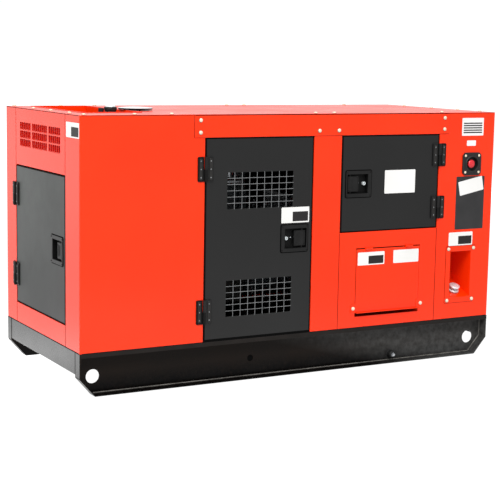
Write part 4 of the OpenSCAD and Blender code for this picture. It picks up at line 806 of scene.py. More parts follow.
@dataclass
class Latch:
    """A flush paddle latch: its pan's trim, its paddle's frame and, on the front doors, its key cylinder."""

    door: str
    side: Side
    middle: Place
    free: int
    locked: bool
    flange: Point = (138.0, 122.0)
    flange_t: float = 3.0
    pan: Point = (112.0, 88.0)
    pan_shift: float = 6.0
    pan_depth: float = 18.0
    paddle: Point = (58.0, 70.0)
    paddle_x: float = 28.0
    lock_x: float = -36.5
    lock_r: float = 8.5

    def at(self, x: float, y: float, z: float) -> Matrix:
        """Gives the matrix of a place on the latch; x runs to the door's free edge, z outwards."""
        return self.side.at(*self.middle) @ Matrix.Translation((self.free * x, y, z))

    def build(self) -> None:
        """Builds the latch's pieces."""
        pan, paddle = f"{self.door}_latch_pan", f"{self.door}_paddle"
        softened(pan, BLACK_OXIDE, 0.8)
        softened(paddle, BLACK_CASTING, 0.8)
        w, h = self.pan
        fw, fh = self.flange
        # A dead black gasket whose rim outside the flange is painted shade round the latch
        gasket = Shape().border(fw + 8, fh + 8, 1.0, 9.0, 10.0)
        show(f"{self.door}_latch_gasket_and_shade", gasket.moved(self.at(0, 0, 0)), body_of(pan), SEALANT_AND_SHADE)
        face = Shape().border(fw - 0.4, fh - 0.4, 1.0, 6.0, 8.0, edge=0.5,
                              hole=(w + 3, h + 3, self.free * self.pan_shift))
        show(f"{self.door}_latch_face", face.moved(self.at(0, 0, self.flange_t - 0.2)), body_of(pan), BLACK_CASTING)
        corners = [self.at(sx * (fw / 2 - 5.5), sy * (fh / 2 - 7.5), self.flange_t + 0.7)
                   for sx in (-1, 1) for sy in (-1, 1)]
        stamped(f"{self.door}_latch_screws", button_screw(6.0), corners, body_of(pan), BLACK_OXIDE)
        pw, ph = self.paddle
        frame_band = Shape().border(pw - 4, ph - 4, 1.6, 4.0, 4.0, edge=0.6)
        show(f"{self.door}_paddle_frame", frame_band.moved(self.at(self.paddle_x, 0, -1.4)), body_of(paddle),
             BLACK_CASTING)
        grips = Shape()
        for step in range(4):
            grips.block((3.0, ph - 22, 1.8), (-14.0 + 6 * step, 0, 0), 0.7)
        show(f"{self.door}_paddle_grips", grips.moved(self.at(self.paddle_x - 4 * self.free, 0, -0.9)),
             body_of(paddle), BLACK_CASTING)
        dot = [self.at(-9.0, 2.0, -self.pan_depth + 0.2)]
        stamped(f"{self.door}_pan_screw", button_screw(8.0), dot, body_of(pan), ZINC)
        if self.locked:
            self._key_cylinder()

    def _key_cylinder(self) -> None:
        """Builds the bright key cylinder with its plug and its dark key slot."""
        lock = f"{self.door}_lock"
        r, deep, tail = self.lock_r, -self.pan_depth - 14.0, -6.0
        ring = Shape().turned([(5.9, tail - 2.0), (6.2, tail - 0.3), (6.8, tail), (r - 1.1, tail),
                               (r, tail - 1.1), (r, deep), (5.9, deep)], 32)
        show(f"{self.door}_lock_ring", ring.moved(self.at(self.lock_x, 0, 0)), body_of(lock), LACQUERED_ZINC, [lock])
        plug = Shape().turned([(0, tail - 1.4), (5.2, tail - 1.4), (5.88, tail - 2.0), (5.88, deep + 1),
                               (0, deep + 1)], 24)
        show(f"{self.door}_lock_plug", plug.moved(self.at(self.lock_x, 0, 0)), body_of(lock), LACQUERED_ZINC)
        slot = Shape().block((1.8, 8.0, 1.2), (0, 0, tail - 1.5), 0.3)
        show(f"{self.door}_key_slot", slot.moved(self.at(self.lock_x, 0, 0)), body_of(lock), RUBBER)


@dataclass
class Door:
    """A hinged door with its foam, edge trim, grille wires, seal, hinges and latch; its dead black edge trim is also
    painted shade of the gaps round it.
    """

    name: str
    side: Side
    origin: Place
    size: Point
    hinge_x: float
    hinge_zs: Sequence[float]
    latch: Latch
    depth: float = 28.0
    hinge_h: float = 108.0
    cover: Place = (15.0, 94.0, 3.0)
    cover_x: float = 24.0
    screw_pitch: float = 36.0
    leaf_t: float = 5.0
    foam_t: float = 15.0
    gap: float = 2.5
    seal: Point = (18.0, 1.2)
    grilles: Sequence[tuple[float, float, float, float]] = ()
    grille_holes: tuple[int, int] = (9, 6)
    bar: float = 4.0
    wire_d: float = 1.9
    trim: float = 3.6
    sill: float = 3.6
    finish: Finish = CHARCOAL_COAT

    def at(self, x: float, y: float, z: float) -> Matrix:
        """Gives the matrix of a place on the door, from its lower left corner seen from outside."""
        return self.side.at(*self.origin) @ Matrix.Translation((x, y, z))

    def build(self) -> None:
        """Builds the door's pieces."""
        softened(f"{self.name}_door", self.finish, SHEET_BEND)
        softened(f"{self.name}_door_leaves", BLACK_CASTING, 0.9)
        self._foam()
        self._grille_wires()
        w, h = self.size
        lap, t = self.seal
        seal = Shape().border(w + 2 * self.gap, h + 2 * self.gap, t, lap + self.gap,
                              at=(w / 2, h / 2, -self.depth - t - 0.2))
        show(f"{self.name}_door_seal", seal.moved(self.at(0, 0, 0)), STILL, RUBBER)
        # A dead black edge trim, also painted shade of the gaps round the door, with a wider sill along the bottom
        edge = Shape().border(w, h, 0.9, self.trim, at=(w / 2, h / 2, -0.3))
        if self.sill > self.trim:
            edge.plate(w - 2, self.sill, 0.8, at=(w / 2, self.sill / 2, -0.3))
        show(f"{self.name}_door_trim_and_shade", edge.moved(self.at(0, 0, 0)), body_of(f"{self.name}_door"), SEALANT_AND_SHADE)
        self._hinge_trim()
        self.latch.build()

    def _foam(self) -> None:
        """Builds the foam lining, left open round the grilles and the latch pan."""
        shape = Shape()
        for x0, x1, y0, y1 in self._foam_patches():
            if x1 - x0 > 3 * self.foam_t:
                spot = ((x0 + x1) / 2, (y0 + y1) / 2, -6.0 - self.foam_t)
                shape.plate(x1 - x0, y1 - y0, self.foam_t, 4.0, spot, 2.0)
        show(f"{self.name}_door_foam", shape.moved(self.at(0, 0, 0)), body_of(f"{self.name}_door"), FOAM)

    def _foam_patches(self) -> Iterator[tuple[float, float, float, float]]:
        """Yields the left, right, low and high edges of each patch of foam."""
        w, h = self.size
        lx, ly = self.latch_spot()
        rim, gap = 6.0, 8.0
        holes = [(x0 - gap, x1 + gap, y0 - gap, y1 + gap) for x0, x1, y0, y1 in self.grilles]
        low = rim
        for x0, x1, y0, y1 in sorted([*holes, (lx - 72, lx + 72, ly - 60, ly + 60)], key=lambda hole: hole[2]):
            yield rim, w - rim, low, y0 - 1
            yield rim, x0, y0 + 1, y1 - 1
            yield x1, w - rim, y0 + 1, y1 - 1
            low = y1 + 1
        yield rim, w - rim, low, h - rim

    def _grille_wires(self) -> None:
        """Builds the wires along the bars of the grilles, pale also as painted highlight of the bars."""
        wires = Shape()
        over = 0.8
        for x0, x1, y0, y1 in self.grilles:
            across, up = ((b - a + self.bar) / n for a, b, n in zip((x0, y0), (x1, y1), self.grille_holes))
            for i in range(1, self.grille_holes[0]):
                x = x0 - self.bar / 2 + i * across
                wires.tube([(x, y0 - over, 0.3), (x, y1 + over, 0.3)], self.wire_d, bent=False)
            for i in range(1, self.grille_holes[1]):
                y = y0 - self.bar / 2 + i * up
                wires.tube([(x0 - over, y, 0.3), (x1 + over, y, 0.3)], self.wire_d, bent=False)
        if self.grilles:
            show(f"{self.name}_grille_wires_and_highlight", wires.moved(self.at(0, 0, 0)), body_of(f"{self.name}_door"), DULL_WIRE_AND_HIGHLIGHT)

    def latch_spot(self) -> Point:
        """Gives the middle of the latch's pan on the door."""
        spot = self.at(0, 0, 0).inverted() @ self.latch.at(self.latch.pan_shift, 0, 0).translation
        return spot.x, spot.y

    def _hinge_trim(self) -> None:
        """Builds the raised covers of the hinge leaves and their screws."""
        toward = 1 if self.hinge_x < self.size[0] / 2 else -1
        body = body_of(f"{self.name}_door")
        cover = Shape().plate(*self.cover, 5.0, edge=1.4)
        for label, sign, rider in (("door", toward, body), ("frame", -toward, STILL)):
            spots = [self.at(self.hinge_x + sign * self.cover_x, z + self.hinge_h / 2, self.leaf_t - 0.3)
                     for z in self.hinge_zs]
            stamped(f"{self.name}_{label}_hinge_covers", cover, spots, rider, PHOSPHATED)
            screws = [spot @ Matrix.Translation((0, step * self.screw_pitch, self.cover[2] - 0.3))
                      for spot in spots for step in (-1, 0, 1)]
            stamped(f"{self.name}_{label}_hinge_screws", button_screw(6.0), screws, rider, DULL_WIRE_AND_HIGHLIGHT)


@dataclass
class Skid:
    """The channel skid with the base tank."""

    web_y: float = 50.0
    wall: float = 6.0
    chamfer: Point = (72.7, 107.75)
    bead_d: float = 7.0
    lip_h: float = 19.0
    hole: Point = (845.0, -104.0)
    drain: Point = (1613.0, -155.0)

    def build(self) -> None:
        """Builds the rails, cross members, tank and the welded corners of the rails, whose pale beads are a painted
        highlight.
        """
        lx, lz = self.chamfer
        x0, x1, low = self.wall, HOOD_L - self.wall, self.wall - SKID_H
        corner = [(x0, -self.wall), (x1, -self.wall), (x1, -lz), (HOOD_L - lx, low), (lx, low), (x0, -lz),
                  (x0, -self.wall)]
        # Weld beads in the inner corners, pale grey as a painted highlight
        beads = Shape()
        for y in (self.web_y - 1, HOOD_W - self.web_y + 1):
            beads.tube([(x, y, z) for x, z in corner], self.bead_d, bent=False)
        show("rail_weld_beads_painted_highlight", beads.moved(IN_HOOD), STILL, WELD_BEAD_HIGHLIGHT)
        lip = Shape().plate(HOOD_L - 2, self.lip_h, 0.4, at=(0, -self.lip_h / 2, 0))
        edges = [Side.FRONT.at(HOOD_L / 2, 0, 0), Side.REAR.at(HOOD_L / 2, HOOD_W, 0)]
        stamped("rail_lip_faces", lip, edges, STILL, WORN_ENAMEL)
        for node in ("front_rail", "rear_rail"):
            softened(node, BLACK_ENAMEL, 2.5)
        cap = Shape().plate(self.web_y - 5, lz - 5, 0.5, 1.0)
        ends = [side.at(x, y, -lz / 2) for side, x in ((Side.LEFT, 0.0), (Side.RIGHT, HOOD_L))
                for y in (self.web_y / 2, HOOD_W - self.web_y / 2)]
        stamped("rail_end_caps", cap, ends, STILL, GLOSS_ENAMEL)
        softened("skid_crossmembers", GLOSS_ENAMEL, 2.0)
        softened("fuel_tank", BLACK_ENAMEL, 2.0)
        # Dead black bungs in the web holes: rubber bungs, and painted shade of the holes
        bung = Shape().turned([(0, -1.8), (11.0, -1.8), (13.4, -1.0), (14.85, -1.5), (14.85, -5.0), (0, -5.0)], 32)
        holes = [Side.FRONT.at(self.hole[0], self.web_y, self.hole[1]),
                 Side.REAR.at(self.hole[0], HOOD_W - self.web_y, self.hole[1])]
        stamped("web_hole_bungs_and_shade", bung, holes, STILL, SEALANT_AND_SHADE)
        drain = Side.FRONT.at(self.drain[0], self.web_y, self.drain[1])
        boot = Shape().turned([(0, 28.0), (10.0, 28.0), (14.5, 27.0), (16.8, 25.0), (17.4, 22.0), (17.4, 3.0),
                               (20.0, 1.6), (20.0, 0.3), (0, 0.3)], 32)
        show("drain_plug_boot", boot.moved(drain), STILL, RUBBER)
        stamped("drain_plug_screw", hex_bolt(13.0, 9.0), [drain @ Matrix.Translation((0, 0, 27.8))], STILL, ZINC)


@dataclass
class OutputSide:
    """The output flap with the weld terminals behind it, and the control board behind its door."""

    flap_bolts: Sequence[float] = (1360.0, 1744.0)
    flap_bolt_z: float = 92.0
    board: Place = (1288.0, 96.0, 874.0)
    # Places on the control board, from its upper left corner: right, proud of it and down
    screen: Place = (145.0, 12.5, 90.0)
    lamp: Place = (280.0, 10.0, 70.0)
    lamp_pitch: float = 55.0
    breaker: Place = (379.0, 22.0, 305.0)
    breaker_pitch: float = 50.0
    slot: Place = (1552.0, 361.0, 44.0)
    lip_h: float = 8.0

    def build(self) -> None:
        """Builds the flap, the folded lip of the cable slot under it, the terminals and the control board."""
        softened("output_flap", RED_COAT, SHEET_BEND)
        x, w, z = self.slot
        lip = Shape().plate(w, self.lip_h, SHEET, at=(0, self.lip_h / 2, -SHEET))
        show("cable_slot_lip", lip.moved(Side.FRONT.at(x, 0, z)), STILL, RED_COAT)
        cap = Canopy().cap()
        places = [Side.FRONT.at(x, -SHEET, self.flap_bolt_z) for x in self.flap_bolts]
        stamped("flap_bolt_caps", cap, places, "output_flap", CREAM_NYLON)
        softened("terminal_board", PHENOLIC, 1.5)
        softened("weld_studs", BRASS, 0.8)
        softened("control_board", GREY_ENAMEL, 0.9)
        softened("current_knob", BLACK_NYLON, 0.6)
        softened("start_switch", GROUND_STEEL, 0.6)
        self._lamps()

    def on_board(self, spot: Place, way: float = 0.0) -> Matrix:
        """Gives the matrix of a place on the control board, moved some way to the right."""
        return Side.FRONT.at(self.board[0] + spot[0] + way, self.board[1] - spot[1], self.board[2] - spot[2])

    def _lamps(self) -> None:
        """Builds the screen glass, the lamps and the breaker toggles of the control board."""
        glass = Shape().plate(138.0, 88.0, 1.5, 2.0, edge=0.5)
        show("screen_glass", glass.moved(self.on_board(self.screen)), STILL, SCREEN_GLASS)
        lens = Shape().turned([(0, 9), (5, 8.4), (9, 6.4), (11.4, 3), (12, 0), (0, 0)], 24)
        bezel = Shape().turned([(11.8, 0), (11.8, 3), (13, 3.6), (14.6, 2.4), (15, 0)], 24)
        spots = [self.on_board(self.lamp, i * self.lamp_pitch) for i in range(4)]
        stamped("lamp_bezels", bezel, spots, STILL, CHROME)
        stamped("green_lamps", lens, spots[:2], STILL, GREEN_LENS)
        stamped("amber_lamps", lens, spots[2:], STILL, AMBER_LENS)
        toggle = Shape().block((12.0, 26.0, 10.0), (0, 0, 4), 1.5).block((8.0, 9.0, 10.0), (0, 4, 9), 1.5)
        levers = [self.on_board(self.breaker, i * self.breaker_pitch) for i in range(3)]
        stamped("breaker_toggles", toggle, levers, STILL, BLACK_NYLON)


@dataclass
class Refuelling:
    """The filler in its pocket."""

    plug: Place = (1978.0, 50.25, 126.37)
    slope: float = 24.0

    def build(self) -> None:
        """Builds the neck and the bright cap with its fluted grip."""
        carried("fuel_neck", ZINC)
        place = Side.TOP.at(*self.plug) @ Matrix.Rotation(math.radians(self.slope), 4, "X")
        cap = Shape().turned([
            (20.3, 4.5), (27.0, 4.5), (28.0, 5.5), (28.0, 9.0), (27.0, 10.0), (23.0, 10.6), (22.0, 12.0), (22.0, 22.5),
            (23.0, 24.0), (25.4, 24.4), (26.0, 25.2), (26.0, 30.4), (25.0, 31.6), (20.0, 33.0), (12.0, 34.6),
            (0, 35.8), (0, 14.6), (20.3, 14.6)], 48)
        show("fuel_cap_body", cap.moved(place), "fuel_cap", LACQUERED_ZINC, ["fuel_cap"])
        flutes = Shape()
        for x, y in on_circle(22.0, 18):
            flutes.turned([(0, 11.6), (1.8, 12.2), (1.8, 22.6), (0, 23.2)], 8, (x, y, 0))
        show("fuel_cap_flutes", flutes.moved(place), "fuel_cap", LACQUERED_ZINC)
        grip = Shape().turned([(21.8, 12.4), (22.5, 12.6), (22.5, 22.0), (21.8, 22.2)], 48)
        show("fuel_cap_grip", grip.moved(place), "fuel_cap", BLACK_NYLON)


@dataclass
class EmergencyStop:
    """The emergency stop in its guard."""

    x: float = 2020.0
    z: float = 753.0
    proud: float = 8.0
    corner: float = 40.0

    def build(self) -> None:
        """Builds the guard, its screw caps and the button."""
        softened("estop_housing", BLACK_NYLON, 2.5)
        place = Side.FRONT.at(self.x, 0, self.z)
        button = Shape().turned([(0, 8.8), (7, 8.5), (13, 7.4), (17.4, 5.4), (19.5, 2.9), (20, 0.8), (20, -2),
                                 (19, -3), (11.9, -3), (11.9, -29), (0, -29)], 40)
        show("estop_mushroom", button.moved(place), "estop_button", RED_PLASTIC, ["estop_button"])
        rim = self.proud
        ring = Shape().turned([(34.0, rim - 0.5), (34.0, rim + 2.6), (35.2, rim + 3.6), (38.0, rim + 3.6),
                               (40.0, rim + 1.8), (40.6, rim - 0.5)], 48)
        show("estop_guard_ring", ring.moved(place), STILL, BLACK_NYLON)
        caps = [place @ Matrix.Translation((sx * self.corner, sy * self.corner, rim - 0.1))
                for sx in (-1, 1) for sy in (-1, 1)]
        cap = Shape().turned([(0, 3.4), (2.6, 3.2), (4.8, 2.2), (5.8, 0.9), (6.0, 0), (0, 0)], 20)
        stamped("estop_screw_caps", cap, caps, STILL, CREAM_NYLON)


@dataclass
class RoofFittings:
    """The radiator cap, the plug of its overflow and the exhaust's rain cover."""

    cap: Place = (306.0, 400.0, HOOD_H + 17.0)
    exhaust: Place = (427.0, 400.0, HOOD_H + 10.0)
    overflow: Place = (261.0, 400.0, HOOD_H + 9.0)
    cover_r: float = 78.0

    def build(self) -> None:
        """Builds the fittings."""
        softened("radiator_cap", BLACK_NYLON, 0.6)
        disc = Shape().turned([(0, 9.0), (10, 8.8), (16, 7.6), (20, 5.4), (22.5, 2.4), (23, 0.4), (23, -0.4),
                               (0, -0.4)], 40)
        show("radiator_cap_disc", disc.moved(Side.TOP.at(*self.cap)), "radiator_cap", LACQUERED_ZINC)
        softened("rain_cover", BLACK_CASTING, 0.6)
        r = self.cover_r
        skin = Shape().turned([(0, 7.0), (r / 2, 6.0), (r - 1.5, 2.7), (r + 0.4, 1.9), (r + 0.4, 1.2), (r / 2, 4.6),
                               (0, 5.6)], 48)
        show("rain_cover_skin", skin.moved(Side.TOP.at(*self.exhaust)), STILL, LACQUERED_ZINC)
        # A dead black skirt under the cover's rim, as painted shade of its underside
        trim = Shape().turned([(r - 7.0, 1.0), (r - 1.2, 1.0), (r - 1.2, -4.8), (r - 7.0, -4.8)], 48)
        show("rain_cover_shade_skirt", trim.moved(Side.TOP.at(*self.exhaust)), STILL, SEALANT_AND_SHADE)
        plug = Shape().turned([(0, 3.0), (9, 2.8), (12, 1.0), (12.6, -1.5), (12.6, -30.0), (0, -30.0)], 24)
        show("overflow_plug", plug.moved(Side.TOP.at(*self.overflow)), STILL, RUBBER)


@dataclass
class Seams:
    """The dark sealing strips that show in the joints between the panels, also laid as painted shade of the joint gaps.
    """

    width: float = 2.2
    rise: float = 0.3
    below: float = 0.5
    ends: Point = (165.0, 784.0)
    beam: Point = (528.0, 1877.0)
    bend: float = 8.0
    output: Point = (1276.9, 1827.1)
    output_top: float = 450.0
    end_door: Point = (94.0, 740.0)
    beam_gasket: Point = (1356.0, 100.0)
    beam_middle: Point = (HOOD_L / 2 + 125.0, 949.0)
    pocket_gasket_and_shade: Point = (179.0, 281.0)
    pocket_middle: Point = (1977.0, 217.0)
    gasket_w: float = 12.0

    def build(self) -> None:
        """Builds the strips, and the gaskets under the top beams and the filler pocket's flange, whose rims outside
        them are painted shade.
        """
        strips = Shape()
        for side, place, w, h in self.strips():
            strip = Shape().plate(w, h, self.rise + self.below, at=(0, 0, -self.below))
            strips.taking(strip, [side.at(*place)])
        show("panel_joint_strips_and_shade", strips, STILL, SEALANT_AND_SHADE)
        gasket = Shape().border(*self.beam_gasket, self.below, self.gasket_w)
        x, z = self.beam_middle
        stamped("beam_gaskets_and_shade", gasket, [Side.FRONT.at(x, 0, z), Side.REAR.at(x, HOOD_W, z)], STILL, SEALANT_AND_SHADE)
        gasket = Shape().border(*self.pocket_gasket_and_shade, self.below, self.gasket_w, 6.0)
        x, z = self.pocket_middle
        show("pocket_gasket_and_shade", gasket.moved(Side.FRONT.at(x, 0, z)), STILL, SEALANT_AND_SHADE)

    def strips(self) -> Iterator[tuple[Side, Place, float, float]]:
        """Yields the side, the middle, the width and the height of each strip."""
        for side, x, y, low, high in self.joints():
            yield side, (x, y, (low + high) / 2), self.width, high - low
        for z, tall in ((0.0, 2 * self.width), (HOOD_H - SHEET, self.width)):
            for side, x, y, length in ((Side.FRONT, HOOD_L / 2, 0.0, HOOD_L), (Side.REAR, HOOD_L / 2, HOOD_W, HOOD_L),
                                       (Side.LEFT, 0.0, HOOD_W / 2, HOOD_W), (Side.RIGHT, HOOD_L, HOOD_W / 2, HOOD_W)):
                yield side, (x, y, z), length - 2 * self.bend, tall
        middle, z = sum(self.beam) / 2, HOOD_H - SHEET - self.width / 2
        for side, y in ((Side.FRONT, -SHEET), (Side.REAR, HOOD_W + SHEET)):
            yield side, (middle, y, z), self.beam[1] - self.beam[0], self.width

    def joints(self) -> Iterator[tuple[Side, float, float, float, float]]:
        """Yields the side, the place and the lower and upper end of each upright joint."""
        low, high = 2.0, HOOD_H - 2.0
        for x in self.output:
            yield Side.FRONT, x, 0.0, low, self.output_top
        for y in self.ends:
            yield Side.LEFT, 0.0, y, low, self.end_door[0]
            yield Side.LEFT, 0.0, y, self.end_door[1], high
            yield Side.RIGHT, HOOD_L, y, low, high


@dataclass
class EndSlots:
    """The fins that were pushed in behind the hot air slots of the left end, and the slots' rims, in a deep red that is
    painted shade of the slots' inside.
    """

    middle: Place = (0.0, 474.5, 842.0)
    slot: Point = (15.0, 30.0)
    pitch: float = 23.7
    row_pitch: float = 38.0
    groups: Sequence[tuple[float, int]] = ((-183.25, 6), (0.0, 8), (183.25, 6))
    fin: Point = (13.0, 1.2)
    lean: float = -35.0
    rim: float = 2.4

    def build(self) -> None:
        """Builds one leaning fin at the rear edge of each slot, and a rim round it, both in painted shade."""
        deep, t = self.fin
        w, h = self.slot
        fin = Shape().block((t, h, deep), (0, 0, -deep / 2))
        fin.moved(Matrix.Translation(((t - w) / 2, 0, 0.3 - SHEET)) @ Matrix.Rotation(math.radians(self.lean), 4, "Y"))
        place = Side.LEFT.at(*self.middle)
        spots = [place @ Matrix.Translation((shift + (i - (count - 1) / 2) * self.pitch, row * self.row_pitch, 0))
                 for shift, count in self.groups for i in range(count) for row in range(3)]
        stamped("end_slot_fins", fin, spots, STILL, SLOT_SHADE_RED)
        # Rims in painted shade widen the dark of each slot
        rim = Shape().border(w + 2 * self.rim, h + 1.6, 0.4, 0.8, hole=(w, h, 0.0))
        stamped("end_slot_shade_rims", rim, spots, STILL, SLOT_SHADE_RED)


@dataclass
class SoundLining:
    """The sound absorbing foam inside the canopy."""

    t: float = 20.0

    def build(self) -> None:
        """Builds the foam boards."""
        boards = Shape()
        for low, high in self.boards():
            size = tuple(b - a for a, b in zip(low, high))
            boards.block(size, tuple((a + b) / 2 for a, b in zip(low, high)), 3.0)
        show("canopy_foam", boards.moved(IN_HOOD), STILL, FOAM)

    def boards(self) -> Iterator[tuple[Place, Place]]:
        """Yields the lowest and highest corner of each board."""
        front, back = (SHEET, SHEET + self.t), (HOOD_W - SHEET - self.t, HOOD_W - SHEET)
        for x0, x1, (y0, y1), z0, z1 in ((30, 568, front, 12, 970), (1838, 2128, front, 380, 690),
                                         (1838, 2128, front, 822, 970), (30, 568, back, 12, 970),
                                         (1140, 2128, back, 12, 970)):
            yield (x0, y0, z0), (x1, y1, z1)
        yield (520, 60, HOOD_H - SHEET - self.t), (2120, HOOD_W - 60, HOOD_H - SHEET)


@dataclass(frozen=True)
class Film:
    """A blank film or plate: its face, its middle, its size and its plain printed fields.

    Each field is its middle and its size, in shares of the film's size, from the film's middle.
    """

    name: str
    side: Side
    middle: Place
    size: Point
    body: str = STILL
    finish: Finish = WHITE_VINYL
    fields: Sequence[tuple[float, float, float, float]] = ()
    spin: float = 0.0
    t: float = 0.6
    corner: float = 4.0
    ink_t: float = 0.25

    def build(self) -> None:
        """Builds the film and its fields."""
        w, h = self.size
        place = self.side.at(*self.middle, self.spin)
        show(self.name, Shape().plate(w, h, self.t, self.corner, edge=0.2).moved(place), self.body, self.finish)
        if self.fields:
            ink = Shape()
            for x, y, fw, fh in self.fields:
                ink.plate(fw * w, fh * h, self.ink_t, 1.0, (x * w, y * h, self.t - 0.1))
            show(f"{self.name}_field", ink.moved(place), self.body, BLACK_INK)


@dataclass
class BlankPlates:
    """Plates and films left blank, where the machine would carry its markings."""

    block: tuple[float, float, float, float] = (0.18, -0.1, 0.56, 0.62)

    def build(self) -> None:
        """Builds each film."""
        for film in self.films():
            film.build()

    def films(self) -> Iterator[Film]:
        """Yields the films."""
        front, one = Side.FRONT, [self.block]
        rows = [(0.0, 0.2 - 0.13 * i, 0.86, 0.07) for i in range(5)]
        yield Film("data_plate", front, (2021.5, 0, 931.5), (129.0, 85.0), fields=rows)
        yield Film("small_film", front, (2016.0, 0, 853.0), (54.0, 26.0))
        yield Film("dark_film", front, (2020.0, 0, 564.5), (170.0, 257.0), finish=DARK_VINYL)
        yield Film("tilted_film", front, (2023.5, -0.5, 646.5), (144.0, 68.0), spin=11.0)
        yield Film("pocket_film", front, (1973.5, 0, 390.5), (143.0, 65.0), fields=one)
        yield Film("engine_door_film", front, (1037.5, 0, 546.5), (145.0, 71.0), "engine_door", fields=one)
        yield Film("control_door_film", front, (1604.5, 0, 680.5), (173.0, 109.0), "control_door")
        yield Film("flap_film_left", front, (1455.5, 0, 324.0), (149.0, 61.0), "output_flap", fields=one)
        yield Film("flap_film_right", front, (1653.5, 0, 325.0), (145.0, 62.0), "output_flap")
        yield Film("left_end_film", Side.LEFT, (0, 79.0, 935.0), (146.0, 64.0), fields=one)


@dataclass
class PowerUnit:
    """The engine, the welding generator and what serves them."""

    def build(self) -> None:
        """Dresses the machinery inside the canopy."""
        for node, finish, radius in (
                ("engine_block", CAST_IRON, 2.0), ("cylinder_head", CAST_IRON, 2.0),
                ("oil_pan", BLACK_ENAMEL, 1.5), ("welding_generator", GREY_ENAMEL, 1.5),
                ("radiator", ALUMINIUM, 1.2), ("battery", BLACK_NYLON, 2.0),
                ("rubber_mounts", RUBBER, 1.5), ("exhaust_muffler", ZINC, 1.2),
                ("air_cleaner", BLACK_NYLON, 1.2)):
            softened(node, finish, radius)
        for node, finish in (("crank_train", GROUND_STEEL), ("cooling_fan", BLACK_NYLON), ("fan_belt", RUBBER)):
            carried(node, finish)


